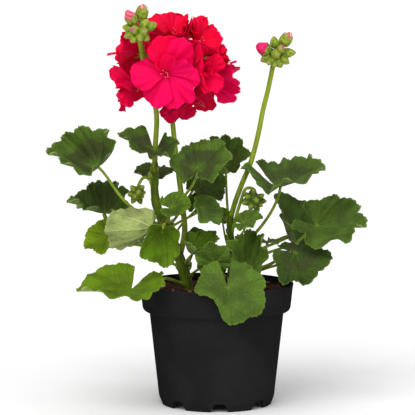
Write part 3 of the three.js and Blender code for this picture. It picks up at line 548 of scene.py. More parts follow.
def turned_rings(outline):
    """Rings of points from an outline that runs from the axis at the bottom round to the axis at the top."""
    turns = 2 * pi * np.arange(TURNED_SIDES) / TURNED_SIDES
    radius, height = np.array(outline, float).T[..., None]
    return gather(radius * np.cos(turns), radius * np.sin(turns), height)


def turned_shape(rings):
    shape = Shape()
    add_rings(shape, rings[1:-1], rings[[0, -1], 0])
    return shape


def rounded(outline, radii):
    """The outline with a radius at each corner, in short steps."""
    points = [np.array(point, float) for point in outline]
    result = []
    for number, (point, radius) in enumerate(zip(points, radii)):
        if not radius:
            result.append(point)
            continue
        before, after = points[number - 1] - point, points[number + 1] - point
        reach = min(radius, 0.45 * np.linalg.norm(before), 0.45 * np.linalg.norm(after))
        a, b = point + unit(before) * reach, point + unit(after) * reach
        result += [a * (1 - t) ** 2 + 2 * point * t * (1 - t) + b * t**2 for t in shares(5)]
    return result


def make_pot():
    outside = [
        (0, 0), (PAD_RADIUS, 0), (PAD_RADIUS + 0.6, FLOOR_HEIGHT),
        (FOOT_RADIUS - 1.6, FLOOR_HEIGHT), (FOOT_RADIUS - 1.3, 0), (FOOT_RADIUS, 0),
        (BODY_BASE_RADIUS, 6.8), (BODY_TOP_RADIUS, COLLAR_FOOT - 2.2),
        (RIM_RADIUS - 3.6, COLLAR_FOOT - 1), (RIM_RADIUS - 2.3, COLLAR_FOOT + 1),
        (RIM_RADIUS - 0.35, POT_HEIGHT - 3.2), (RIM_RADIUS, POT_HEIGHT - 2.4), (RIM_RADIUS, POT_HEIGHT),
    ]
    inside = [
        (RIM_RADIUS - POT_WALL, POT_HEIGHT), (RIM_RADIUS - 4.2, COLLAR_FOOT + 0.6),
        (BODY_TOP_RADIUS - POT_WALL, COLLAR_FOOT - 0.6), (BODY_BASE_RADIUS - POT_WALL, FLOOR_TOP + 1.6),
        (BODY_BASE_RADIUS - 2.2, FLOOR_TOP), (0, FLOOR_TOP),
    ]
    radii = (0, 0.6, 0, 0.5, 0.3, 0.7, 1.6, 1.6, 1.2, 1.2, 0.3, 0.3, 0.6, 0.5, 0, 0, 0, 0, 0)
    outline = rounded(outside + inside, radii)
    pot = turned_shape(turned_rings(outline)).make("nursery_pot", [PLASTIC], ["pot"], "pot")
    cutters = Shape()
    for number in range(NOTCHES):
        turn = 2 * pi * number / NOTCHES + radians(NOTCH_TURN)
        outward, aside = vec(np.sin(turn), -np.cos(turn), 0), vec(np.cos(turn), np.sin(turn), 0)
        ends = [outward * reach + aside * x + vec(0, 0, z) for reach in NOTCH_REACH for x, z in NOTCH_SECTION]
        sides = [(0, 1, 5, 4), (1, 2, 6, 5), (2, 3, 7, 6), (3, 0, 4, 7)]
        cutters.add(ends, [(3, 2, 1, 0), (4, 5, 6, 7), *sides])
    cutter = cutters.make("notch_cutter", [PLASTIC])
    cut = pot.modifiers.new("notches", "BOOLEAN")
    cut.object = cutter
    cut.operation = "DIFFERENCE"
    depsgraph = bpy.context.evaluated_depsgraph_get()
    pot.data = bpy.data.meshes.new_from_object(pot.evaluated_get(depsgraph))
    pot.modifiers.clear()
    bpy.data.objects.remove(cutter)
    pot.data.set_sharp_from_angle(angle=radians(SHARP_ANGLE))


def soil_height(x, y):
    spot = Vector((x * 0.11, y * 0.11, 3.0))
    return 1.6 * noise.fractal(spot, 0.6, 2.1, 5) + 0.5 * noise.noise(spot * 9)


def make_soil():
    side = [
        (BODY_BASE_RADIUS - 2.5, FLOOR_TOP + 0.3), (BODY_TOP_RADIUS - 1.7, COLLAR_FOOT - 0.3),
        (RIM_RADIUS - 4.5, COLLAR_FOOT + 0.9), (RIM_RADIUS - 2.6, SOIL_TOP - 0.8),
    ]
    surface = [(radius, SOIL_MIDDLE - SOIL_DOME * radius**2) for radius in np.linspace(SOIL_RADIUS, 1.2, 52)]
    rings = turned_rings([(0, FLOOR_TOP + 0.3), *side, *surface, (0, SOIL_MIDDLE)])
    for ring in rings[len(side) + 1 : -1]:
        for point in ring:
            point[2] += soil_height(point[0], point[1])
    shape = turned_shape(rings)
    random = np.random.default_rng(5)
    for _ in range(CRUMBS):
        reach, turn = (SOIL_RADIUS - 1) * random.random() ** 0.5, 2 * pi * random.random()
        x, y = reach * np.cos(turn), reach * np.sin(turn)
        centre = vec(x, y, SOIL_TOP + 0.4 + soil_height(x, y))
        size = 0.45 + 1.5 * random.random() ** 2.5
        direction = unit(random.normal(size=3) * vec(1, 1, 0.5))
        stretch = 1 + 1.4 * random.random()
        stations = [(-stretch, 0.25), (-0.5, 0.85), (0.45, 0.8), (stretch, 0.2)]
        tint = (random.random(), float(random.random() > 1 - BARK_SHARE), 0)
        add_spindle(shape, centre, direction, size * np.array(stations), 5, tint=tint)
    shape.make("potting_soil", [SOIL], ["soil"], "soil")


# ---- Stems ----

STEM_FOOT = SOIL_TOP - 24.0


class Stem:
    def __init__(self, points, radii, nodes):
        self.curve = smooth_curve(points)
        self.radii = radii
        self.nodes = nodes

    def radius(self, way):
        swelling = sum(peak(way - node, 0.03) for node in self.nodes)
        return self.radii[0] + (self.radii[1] - self.radii[0]) * way + 0.5 * swelling

    def at(self, share):
        return along_curve(self.curve, share)


STEMS = {
    "left": Stem(
        [
            (-22, 0, STEM_FOOT), (-24, 0, 95), (-28, -2, 114), (-34, -4, 131),
            (-43, -6, 150), (-49.5, -6, 166), (-52, -6, 180), (-52, -6, 206),
        ],
        (5.2, 3.0),
        (0.3, 0.46, 0.6, 0.75, 0.9),
    ),
    "right": Stem(
        [(9.5, 2, STEM_FOOT), (10.5, 2, 97), (12.2, 0, 114), (13, 0, 131), (11.5, 0, 148), (12, 0, 160)],
        (3.3, 2.7),
        (0.36, 0.55, 0.75, 0.92),
    ),
}


def make_stem(name, stem):
    shape = Shape()
    ways = shares(90)
    radii = stem.radius(ways)
    radii[-1] *= 0.7
    add_tube(shape, stem.at(ways), radii, 22, ribs=5, rib_depth=0.035, twist=3.0, tint=(0, 1, 0))
    for number, node in enumerate(stem.nodes):
        for turn in (number * 1.9, number * 1.9 + 2.6):
            outward = vec(np.cos(turn), np.sin(turn), 0)
            foot = stem.at(node) + outward * stem.radius(node) * 0.85
            tip = outward * 0.28 + vec(0, 0, 1)
            add_bract(shape, foot, tip, outward, 7.0, 6.5, 30, 14, (1, 1), tint=(0.35, 0.0, 0))
    shape.make(f"shoot_{name}", [STEM, BUD], [f"stem_{name}"], "stem")


# ---- Leaves ----

LEAF_SPREAD = 168.0
LEAF_LOBES = 7.5
LOBE_TURN = 2 * pi / LEAF_LOBES
LEAF_PLEAT = 8.0
LEAF_OFFSET = 0.3
LEAF_WAVE = (12.0, 8.0)
FULL_WAVE_SIZE = 25.0
FULL_FRILL_SIZE = 30.0
LEAF_THICKNESS = 0.5
ANGLE_STEP = 1.5
LEAF_ROWS = np.array([0, 0.05, 0.12, 0.2, 0.29, 0.38, 0.47, 0.56, 0.65, 0.73, 0.8, 0.86, 0.91, 0.955, 1.0])
FRILL = 16.0
TEETH = 44.0
TOOTH_DEPTH = 0.045
NOTCH_DEPTH = 0.06
PETIOLE_RADIUS = (1.7, 1.15)
YOUNG_TONE = 0.6
leaf_seeds = itertools.count(11)


class Leaf:
    def __init__(
        self, stem, at, joint, tip, face, size, lift, curl, tone, zone,
        via=None, spread=LEAF_SPREAD, lobes=(1,) * 7, pleat=1,
    ):
        self.stem, self.at, self.joint, self.via = STEMS[stem], at, vec(*joint), via
        self.frame = Frame(tip, face)
        self.size, self.lobes, self.curl, self.pleat = size, lobes, curl, pleat
        self.lift = lift if len(lift) == 7 else (*lift, *lift[-2::-1])
        self.spread, self.tone, self.zone = spread, tone, zone
        random = draws(next(leaf_seeds))
        self.wave = (LEAF_WAVE[0] + LEAF_WAVE[1] * next(random)) * min(1, size / FULL_WAVE_SIZE)
        self.phase = 6.3 * next(random)
        self.ruffle = 0.4 + 0.6 * pleat

    def between_lobes(self, values, angle):
        """The value at an angle, eased from the values of the lobes on its two sides."""
        place = np.clip(angle / LOBE_TURN + 3, 0, 5.999)
        lobe = np.floor(place).astype(int)
        values = np.array(values, float)
        return values[lobe] + (values[lobe + 1] - values[lobe]) * ease(place - lobe)

    def reach(self, angle):
        circle = LEAF_OFFSET * np.cos(angle) + np.sqrt(1 - (LEAF_OFFSET * np.sin(angle)) ** 2)
        length = self.size * self.between_lobes(self.lobes, angle)
        return length * circle * (1 + 0.05 * self.pleat * np.cos(LEAF_LOBES * angle))

    def slope(self, angle, way):
        """The slope of a vein, in degrees, at a share of its way."""
        frill = 15 * angle + 4 * self.phase + 1.3 * np.sin(4 * angle + self.phase)
        return (
            self.between_lobes(self.lift, angle) * np.minimum(1, 0.4 + 1.6 * way)
            + self.curl * way**2
            + self.wave * way**2 * np.sin(3 * angle + self.phase)
            - LEAF_PLEAT * self.pleat * way * np.cos(LEAF_LOBES * angle)
            + FRILL * self.ruffle * min(1, self.size / FULL_FRILL_SIZE) * way**4 * np.sin(frill)
        )

    def points(self, angle, share, steps=10):
        """Points of the blade, which its veins lead to."""
        angle, share = np.broadcast_arrays(np.asarray(angle, float), np.asarray(share, float))
        slopes = [self.slope(angle, share * (number + 0.5) / steps) for number in range(steps)]
        return self.frame.place(self.joint, angle, *climb(slopes, self.reach(angle) * share / steps))

    def margin(self, angle):
        """How much further than the outline the edge reaches: rounded teeth, with a notch between lobes."""
        drift = angle + 0.05 * np.sin(5 * angle + self.phase) + 0.02 * np.sin(11 * angle + 2 * self.phase)
        teeth = np.abs(np.sin(TEETH / 2 * drift)) ** 0.6
        place = angle / LOBE_TURN
        notch = peak(place - np.floor(place) - 0.5, 0.07)
        depth = TOOTH_DEPTH * self.ruffle
        return depth * (teeth - 0.75) - NOTCH_DEPTH * self.pleat * min(1, self.size / FULL_FRILL_SIZE) * notch

    def blade(self):
        """The blade's grid of points, each with its place along and across the nearest main vein."""
        angles = np.radians(np.arange(-self.spread, self.spread + 0.1, ANGLE_STEP))
        angle, row = np.meshgrid(angles, LEAF_ROWS)
        share = row * (1 + self.margin(angle) * ease(row, 0.7, 1.0))
        grid = self.points(angle, share)
        vein = np.clip(np.round(angle / LOBE_TURN), -3, 3) * LOBE_TURN
        along = self.reach(angle) * share * np.cos(angle - vein)
        across = np.abs(self.reach(angle) * share * np.sin(angle - vein))
        groove = -0.5 * peak(across, 0.5 + 0.8 * (1 - row)) * ease(row, 0.0, 0.15)
        rank = (along - BRANCH_SLANT * across) / BRANCH_SPACING
        pucker = 0.22 * np.cos(2 * pi * (rank - 0.5)) * ease(across, 0.6, 2.5) * ease(row, 1.05, 0.8)
        grid = grid + sheet_normals(grid) * (groove + pucker)[..., None]
        return grid, gather(along, across, share)

    def petiole(self, foot):
        span = np.linalg.norm(self.joint - foot)
        outward = unit((self.joint - foot) * vec(1, 1, 0)) * 0.8 + vec(0, 0, 0.6)
        arrival = -0.96 * self.frame.face - 0.28 * self.frame.tip
        end = self.points(0.0, 1.6 / self.size)
        if self.via:
            return smooth_curve([foot, self.via, end + arrival * 9, end])
        return bezier_curve(foot, foot + outward * span * 0.35, end + arrival * span * 0.3, end)


# name: stem, at, joint, tip, face; size, lifts of its seven lobes (four where its sides are alike), curl,
# tone, zone; and where it has them, via, spread, the lobes' lengths as shares of the usual, and its pleat.
LEAVES = {
    "upper_left": Leaf(
        "left", 0.57, (-99, -25, 204), (-0.35, 0.93, -0.05), (-0.6, -0.2, 0.75),
        31, (14, 44, 70, 65, 66, 50, 18), 6, 0.26, 0.7, via=(-75, -18, 172),
        lobes=(1.3, 1.05, 1, 1, 1.2, 1.13, 1.3),
    ),
    "upper_middle": Leaf(
        "left", 0.93, (-52, -20, 217), (-0.1, -0.86, -0.5), (0.27, -0.5, 0.82),
        29, (28, 5, 24, 32, 24, 54, 70), 0, 0.14, 0.85, spread=148,
        lobes=(1.1, 1.2, 0.75, 0.85, 0.6, 0.8, 0.8),
    ),
    "centre_top": Leaf(
        "left", 0.66, (-16, -28, 202), (0.08, 0.93, 0.35), (-0.05, -0.35, 0.93),
        25, (-10, 30, 28, 36, 44, 20, -12), 4, 0.3, 0.7, lobes=(1.15, 1.3, 1.08, 0.9, 0.75, 1, 1),
    ),
    "back_upper": Leaf(
        "right", 0.8, (8, 25, 200), (0, 0.83, 0.55), (0, -0.55, 0.83),
        20, (10, 38, 62, 58, 63, 55, 50), 4, 0.12, 0.4, lobes=(0.95, 1.3, 1.1, 1, 1.15, 1, 1),
    ),
    "right_upper": Leaf(
        "right", 0.62, (52, 0, 185), (0.96, -0.23, 0.18), (-0.2, -0.1, 0.98),
        33, (58, 4, 18, 22, 24, 40, 54), -4, 0.2, 0.55, spread=160,
        lobes=(1.5, 0.95, 1.14, 0.97, 1, 1.1, 1.2),
    ),
    "right_fan": Leaf(
        "right", 0.5, (64, 30, 137), (-0.2, 0.1, 0.97), (0.75, -0.65, 0.1),
        30, (60, 25, 5, 0, 32, 50, 60), 0, 0.12, 0.3,
    ),
    "right_big": Leaf(
        "right", 0.47, (83, -15, 153), (0.83, 0.18, -0.52), (0.53, -0.54, 0.65),
        32, (-10, 6, 46, 48, 46, 64, 18), 4, 0.24, 0.15, via=(44, 13, 116),
        lobes=(0.95, 1.05, 1, 1.04, 1.08, 1, 0.88),
    ),
    # Its very low tone, a dark green, is painted shade: the leaf lies deep inside the plant.
    "right_low": Leaf(
        "right", 0.35, (65, -26, 132), (0.95, -0.21, -0.23), (0.1, -0.5, 0.86),
        24, (-2, -38, -40, 12, -10, -10, -15), 4, 0.04, 0.5, via=(42, -14, 117),
        lobes=(1.05, 1.3, 1, 1, 0.75, 0.85, 1.05),
    ),
    "front_low": Leaf(
        "right", 0.35, (9, -62, 107), (0.1, -0.62, -0.78), (-0.05, -0.78, 0.62),
        29, (8, 8, 14, -4, 6, 8, 8), -6, 0.32, 0.15, lobes=(1.25, 1, 0.5, 0.86, 1.03, 1.12, 1.25), pleat=0.6,
    ),
    "front_middle": Leaf(
        "left", 0.24, (-2, -38, 124), (-0.2, -0.2, 0.9), (-0.1, -0.92, 0.3),
        15, (11, 12, 10, 8), 0, 0.36, 0.1,
    ),
    "centre_funnel": Leaf(
        "right", 0.46, (25, -20, 116), (0, 0.89, 0.45), (0.11, -0.45, 0.89),
        26, (28, 58, 74, 58, 66, 66, 44), 4, 0.35, 0.2, lobes=(0.8, 1.05, 1.08, 1, 1, 1.35, 1.3),
    ),
    "right_inner": Leaf(
        "right", 0.7, (22, -29, 157), (0.9, -0.25, 0.25), (-0.1, -0.5, 0.85),
        13, (15, 15, 11, 6), 0, 0.4, 0.2,
    ),
    "centre_cup": Leaf(
        "left", 0.32, (-21, -22, 131), (0.88, 0.13, -0.46), (0.47, -0.3, 0.8),
        22, (42, 38, 60, 64, 64, 70, 40), 8, 0.5, 0.0, lobes=(1.15, 1, 0.85, 0.95, 1.05, 1, 1.08), pleat=0.5,
    ),
    "centre_round": Leaf(
        "left", 0.6, (-38, -32, 170), (0.9, -0.2, 0.1), (-0.1, -0.75, 0.65),
        13.5, (17, 20, 16, 10), 6, 0.52, 0.4, pleat=0.2,
    ),
    "left_pale": Leaf(
        "left", 0.45, (-55, -34, 154), (-0.65, -0.74, -0.17), (-0.75, 0.66, -0.05),
        29.5, (54, 70, 66, 66, 64, 52, 30), 4, 0.85, 0.0, lobes=(1.3, 1.17, 1.2, 1.05, 1.02, 0.95, 0.85),
        pleat=0.2,
    ),
    "left_bright": Leaf(
        "left", 0.38, (-45, -42, 152), (-0.28, 0.63, -0.72), (-0.17, -0.77, -0.61),
        21, (39, 58, 68, 72, 62, 51, 22), 4, 0.68, 0.1, via=(-45, -22, 131),
        lobes=(1.35, 1.22, 1.2, 1.08, 1.3, 1.25, 1.3), pleat=0.35,
    ),
    "left_dark": Leaf(
        "left", 0.46, (-95, 0, 163), (0, 1, 0.1), (-0.05, -0.1, 1),
        29, (6, 50, 57, 50, 57, 38, 22), 8, 0.05, 0.3, lobes=(1.2, 1, 0.82, 0.9, 0.82, 1, 1.1),
    ),
    "low_left": Leaf(
        "left", 0.2, (-71, -50, 104), (-0.45, -0.88, -0.15), (-0.05, -0.1, 0.98),
        35, (46, 24, 8, 2, 4, 4, 22), 8, 0.76, 0.1, via=(-47, -33, 110),
        lobes=(0.95, 1.15, 1.1, 0.8, 0.8, 0.95, 1.15), pleat=0.5,
    ),
    "stem_top": Leaf(
        "left", 0.84, (-53, 10, 191), (0.1, 0.95, 0.15), (0, -0.3, 0.95),
        18, (19, 24, 20, 16), 0, 0.1, 0.4,
    ),
    # Its low tone, a dark green, is painted shade: the leaf lies under the upper leaves.
    "centre_dark": Leaf(
        "left", 0.58, (-14, 8, 190), (0.55, -0.1, -0.5), (0.1, -0.6, 0.75),
        19, (11, 10, 7, 4), 4, 0.08, 0.3,
    ),
    "centre_fold": Leaf(
        "left", 0.57, (-13, -22, 169), (0.6, -0.3, -0.6), (0.45, -0.6, 0.6),
        16, (45, 40, 12, 4, 12, 20, 14), 0, 0.3, 0.2,
    ),
    "centre_bud": Leaf(
        "left", 0.5, (-18, 16, 166), (0.25, 0.1, 0.9), (-0.2, -0.9, 0.2),
        9, (17, 22, 16, 8), 0, 0.5, 0.0, via=(-29, 12, 152),
    ),
    "centre_small": Leaf(
        "left", 0.3, (-17, 5, 139), (-0.2, 0.2, 0.95), (0, -0.95, 0.15),
        8, (17, 20, 14, 6), 0, 0.45, 0.0,
    ),
    "right_small": Leaf(
        "right", 0.62, (6, 8, 157), (-0.6, 0.3, 0.5), (0, -0.7, 0.6),
        8, (15, 15, 11, 6), 0, 0.5, 0.0,
    ),
    "back_left_high": Leaf(
        "left", 0.44, (-97, 62, 156), (-0.6, 0.75, 0.05), (0, 0.15, 0.97),
        28, (16, 20, 15, 8), -6, 0.2, 0.6,
    ),
    "back_centre_high": Leaf(
        "left", 0.62, (-14, 62, 188), (0.2, 0.95, 0.05), (0, 0.1, 0.98),
        27, (13, 16, 12, 6), -6, 0.15, 0.7,
    ),
    "back_right_high": Leaf(
        "right", 0.42, (84, 76, 150), (0.6, 0.75, 0), (0, 0.15, 0.97),
        28, (15, 18, 14, 8), -6, 0.25, 0.5,
    ),
    "back_centre_low": Leaf(
        "right", 0.6, (44, 60, 130), (0.15, 0.95, -0.1), (0, 0.3, 0.95),
        25, (13, 16, 12, 6), -4, 0.4, 0.4,
    ),
    "back_left_low": Leaf(
        "left", 0.28, (-64, 58, 128), (-0.4, 0.88, -0.15), (0, 0.3, 0.95),
        24, (13, 16, 12, 6), -4, 0.55, 0.3,
    ),
    "behind_bright": Leaf(
        "left", 0.36, (-92, 12, 142), (-0.85, -0.1, -0.5), (-0.35, -0.7, 0.6),
        17, (14, 12, 8, 4), 4, 0.9, 0.0,
    ),
}


def make_leaf(name, leaf):
    shape = Shape()
    grid, place = leaf.blade()
    rib = 0.9 * peak(place[..., 1], 0.7) * (1 - ease(place[..., 2], 0.1, 0.9))
    add_sheet(shape, grid, LEAF_THICKNESS + rib, (0, 1), place, (leaf.tone, leaf.zone, 0))
    foot = leaf.stem.at(leaf.at)
    ways = shares(34)
    curve = along_curve(leaf.petiole(foot), ways)
    stoutness = min(1, 0.55 + leaf.size / 70)
    radii = stoutness * (PETIOLE_RADIUS[0] + (PETIOLE_RADIUS[1] - PETIOLE_RADIUS[0]) * np.sqrt(ways))
    radii = radii + 0.5 * peak(ways, 0.05) + 0.25 * peak(1 - ways, 0.04)
    add_tube(shape, curve, radii, 12, slot=2, ribs=5, rib_depth=0.03, tint=(0.25 * (1 - leaf.tone), 0.3, 0))
    outward = unit(curve[4] - curve[0])
    aside = unit(np.cross(outward, vec(0, 0, 1)))
    for side in (-1, 1):
        base = foot + outward * leaf.stem.radius(leaf.at) * 0.8 + aside * side * 1.6
        tip = outward * 0.55 + aside * side * 0.5 + vec(0, 0, 0.55)
        add_bract(shape, base, tip, outward, 5.5, 4.5, 24, 18, (3, 3), tint=(0.5, 0.0, 0))
    materials = [BLADE_TOP, BLADE_UNDER, STALK, BUD]
    slot = "leaf_young" if leaf.tone >= YOUNG_TONE else "leaf"
    shape.make(f"{name}_leaf", materials, [f"leaf_{name}"], slot)


# ---- The flower head ----

HEAD_CENTRE = vec(-37, 6, 280)
HEAD_STALK = [
    (-27, 1, 146), (-28.4, 1, 165), (-31.5, 1, 190), (-34.2, 0, 211), (-36, 1, 228), (-37.6, 3, 247),
]
PETAL_WIDTH = 48.0
PETAL_WAVE = 16.0
PETAL_GAP = 0.5
PETAL_THICKNESS = 0.35
WALL_WAVE = 0.7
WALL_SOFTNESS = 0.5
WALL_RIPPLES = vec(0.31, 0.23, 0.27)
INNER_TURN = 36.0
INNER_LENGTH = 0.7
INNER_LIFT = 24.0
PETAL_STEPS = 8
STAMENS = 7


class Floret:
    def __init__(self, way, reach, gain, curl, pink, deep, petals, inner=None):
        self.axis = unit(way)
        self.room = self.axis * gain
        self.rest = frame_round(self.axis)
        self.base = HEAD_CENTRE + self.axis * reach
        self.reach, self.curl, self.pink, self.deep, self.petals = reach, curl, pink, deep, petals
        self.inner = inner or [
            (turn + INNER_TURN, length * INNER_LENGTH, lift + INNER_LIFT) for turn, length, lift, *_ in petals
        ]


def whorl(first, length, lift):
    """Five petals round a floret, from the angle of the first."""
    return [(first + 72 * number, length, lift) for number in range(5)]


# name: way, reach, gain, curl; pink, which is its colour, and painted shade, a darker crimson laid over it;
# its petals (turn, length, lift and, where it isn't the usual, half width); and its second whorl, where that
# isn't the first turned and raised.
FLORETS = {
    "front": Floret(
        (-0.13, -0.98, 0.02), 31, 1.2, -26, 0.95, 0.0,
        [
            (0, 35, 30, 48), (92, 29, 20, 44), (153, 31, 16, 46), (210, 33, 16, 46),
            (264, 31, 30, 28), (292, 29, 40, 34), (322, 34, 26, 44),
        ],
        [(348, 22, 58, 48), (30, 18, 52, 40)],
    ),
    "front_right": Floret(
        (0.55, -0.82, 0.1), 30, 0.98, -10, 0.3, 0.15,
        [(14, 31, 46), (70, 33, 38), (140, 31, 50), (212, 29, 56), (290, 29, 50)],
    ),
    "top": Floret(
        (-0.02, -0.44, 0.9), 31, 1, -30, 0.05, 0.4,
        [(36, 31, 34), (108, 29, 38), (180, 34, 30), (244, 35, 26), (316, 31, 34)],
    ),
    "top_right": Floret(
        (0.56, -0.4, 0.72), 32, 1, -26, 0.25, 0.2,
        [(30, 31, 36), (110, 34, 24), (165, 34, 24), (225, 31, 34), (300, 31, 36)],
    ),
    "right_high": Floret((0.88, -0.04, 0.47), 31, 1, -30, 0.1, 0.3, whorl(0, 30, 38)),
    "right": Floret(
        (0.96, -0.22, -0.14), 32, 1, -16, 0.9, 0.45,
        [(10, 27, 50), (92, 34, 64), (176, 27, 50), (240, 31, 44), (300, 31, 36)],
    ),
    "bottom": Floret((0.28, -0.52, -0.81), 24, 0.94, -28, 0.3, 0.8, whorl(0, 24, 40)),
    "left": Floret(
        (-0.93, -0.26, -0.24), 31, 0.98, -26, 0.65, 0.1,
        [(30, 25, 50), (100, 29, 40), (172, 27, 50, 32), (232, 28, 56, 30), (290, 28, 60, 36)],
    ),
    "left_high": Floret(
        (-0.8, -0.22, 0.54), 32, 1, -22, 0.35, 0.05,
        [(40, 30, 38), (115, 30, 38), (190, 26, 44), (262, 30, 54), (325, 27, 44)],
    ),
    "back_left": Floret((-0.62, 0.77, 0.05), 30, 1, -32, 0.4, 0.2, whorl(0, 32, 34)),
    "back_right": Floret((0.58, 0.8, -0.12), 30, 1, -32, 0.3, 0.3, whorl(20, 32, 34)),
    "back_top": Floret((0.02, 0.66, 0.75), 30, 1, -32, 0.2, 0.2, whorl(0, 32, 34)),
}
BUD_ROOM = unit((-0.46, -0.66, 0.58)) * 0.98


def press_into(points, own, depth):
    """Petals press against their neighbours': points of one floret that would pass into another's room
    stay out of it. own: the floret's number."""
    rooms = [*(floret.room for floret in FLORETS.values()), BUD_ROOM]
    for _ in range(2):
        for number, room in enumerate(rooms):
            if number == own:
                continue
            across = unit(rooms[own] - room)
            ripples = np.sin(points @ WALL_RIPPLES + own * number)
            wall = depth + WALL_WAVE * ripples * (1 if own < number else -1)
            missing = wall - (points - HEAD_CENTRE) @ across
            push = WALL_SOFTNESS * np.logaddexp(0, missing / WALL_SOFTNESS)
            points = points + push[..., None] * across
    return points


def add_petal(shape, number, floret, petal, draw, tint, order):
    """One petal: narrow at its foot, broad and ragged at its end, pressed into its floret's room."""
    turn, length, lift, width = (*petal, PETAL_WIDTH)[:4]
    spread = radians(width)
    outward = floret.rest.spoke(-radians(turn))
    length *= 0.92 + 0.16 * next(draw)
    phase, lean, lift = next(draw) * 6.3, 9 + 5 * next(draw), lift + 10 * (next(draw) - 0.5)
    turned, share = np.meshgrid(np.linspace(-spread, spread, 33), shares(17))
    side = turned / spread
    ragged = 1 + 0.016 * np.sin(8 * side + phase) + 0.008 * np.sin(23 * side + 2 * phase)
    dent = 1 - 0.05 * peak(side, 0.16)
    reach = length * np.cos(side * radians(76)) ** 0.38 * (1 + (ragged * dent - 1) * share)
    slopes = []
    for step in range(PETAL_STEPS):
        way = share * (step + 0.5) / PETAL_STEPS
        slope = lift + floret.curl * way + lean * side + PETAL_WAVE * way**2 * np.sin(5 * turned + phase)
        slope = slope + 7 * way**3 * np.sin(13 * turned + 2.3 * phase) + 4 * way * np.sin(19 * turned + phase)
        slopes.append(slope)
    out, up = climb(slopes, reach * share / PETAL_STEPS)
    depth = PETAL_GAP + np.minimum(0.15 + 0.2 * order, 0.15 * (out + up))
    foot = floret.base + floret.axis * 1.6 + outward * 0.5
    grid = press_into(Frame(outward, floret.axis).place(foot, turned, out, up), number, depth)
    grid[0] = grid[0].mean(axis=0)
    add_sheet(shape, grid, PETAL_THICKNESS, (0, 0), gather(side, share, length), tint)


def make_floret(number, name, floret):
    draw, looks = draws(number + 71), draws(number + 171)
    shape = Shape()
    add_spindle(shape, floret.base, floret.axis, [(0.3, 1.4), (1.2, 2), (2.6, 1.3)], 12, tint=(0.5, 0.9, 0))
    for order, petal in enumerate([*floret.petals, *floret.inner]):
        upper = len(petal) > 3 and np.cos(radians(petal[0])) > 0.8
        pink = np.clip(floret.pink * (0.3 if upper else 1) + 0.3 * (next(looks) - 0.5), 0, 1)
        # Each petal's painted shade, a darker crimson, varies a little at random around its floret's.
        deep = np.clip(floret.deep + 0.3 * (next(looks) - 0.4), 0, 1)
        add_petal(shape, number, floret, petal, draw, (pink, deep, order * 1.7 + number), order)
    for k in range(STAMENS):
        height = 6.0 + 1.4 * (k % 3)
        direction = floret.axis + (0.3 + 0.1 * (k % 3)) * floret.rest.spoke(2.4 * k + number)
        stations = [(0, 0.3), (height - 1.2, 0.22), (height - 0.9, 0.45), (height - 0.3, 0.45), (height, 0.2)]
        add_spindle(shape, floret.base + floret.axis * 2, direction, stations, 7, slot=1)
    shape.make(f"{name}_flower", [PETAL, STAMEN], [f"floret_{name}"], "petal")


def make_head_stalk():
    shape = Shape()
    curve = smooth_curve([STEMS["left"].at(0.38), *HEAD_STALK, HEAD_CENTRE])
    ways = shares(100)
    radii = 2.1 + 0.3 * (1 - ways) + 1.4 * peak(1 - ways, 0.02)
    add_tube(shape, along_curve(curve, ways), radii, 16, ribs=6, rib_depth=0.03, twist=4, tint=(0, 0.6, 0))
    for floret in FLORETS.values():
        axis, reach = floret.axis, floret.reach
        stations = [(0, 1.1), (reach - 7, 0.9), (reach - 5, 1.1), (reach - 2.5, 1.9), (reach, 2.1)]
        add_spindle(shape, HEAD_CENTRE, axis, stations, 10, tint=(0, 0.4, 0))
        for k in range(5):
            outward = floret.rest.spoke(2 * pi * k / 5 + 0.6)
            foot = HEAD_CENTRE + axis * (reach - 3) + outward * 1.5
            tip = outward * 0.6 + axis * 0.8
            add_bract(shape, foot, tip, axis - outward, 8.5, 3, 20, -16, (1, 1))
    shape.make("bloom_stalk", [STALK, BUD], ["flower_head_stalk"], "stem")


# ---- Bud heads ----

NODDING = (-0.1, -0.3, -1)
GOLDEN_TURN = 2.39996
SEPAL_THICKNESS = 0.3


class OpenBud:
    def __init__(self, name, way, reach, size, length, cover, pale):
        self.name, self.axis, self.reach, self.size = name, unit(way), reach, size
        self.length, self.cover, self.pale = length, cover, pale

    def radius(self, way):
        return self.size * (0.12 + 0.88 * np.sin(pi * (0.18 + 0.8 * way) ** 0.95) ** 0.6)


def bud_ball(seed, count, length, thick):
    """Buds all round the end of a nodding stalk, from its axis on: each one's way, length and thickness."""
    random = draws(seed)
    rest = frame_round(unit(NODDING))
    buds = []
    for i in range(count):
        height = 1 - 1.9 * (i + 0.5) / count
        turn = i * GOLDEN_TURN + 0.4 * next(random)
        flat = max(0, 1 - height * height) ** 0.5
        way = unit(NODDING) * height + (rest.left * np.cos(turn) + rest.face * np.sin(turn)) * flat
        buds.append((way, length * (0.8 + 0.35 * next(random)), thick * (0.85 + 0.3 * next(random))))
    return buds


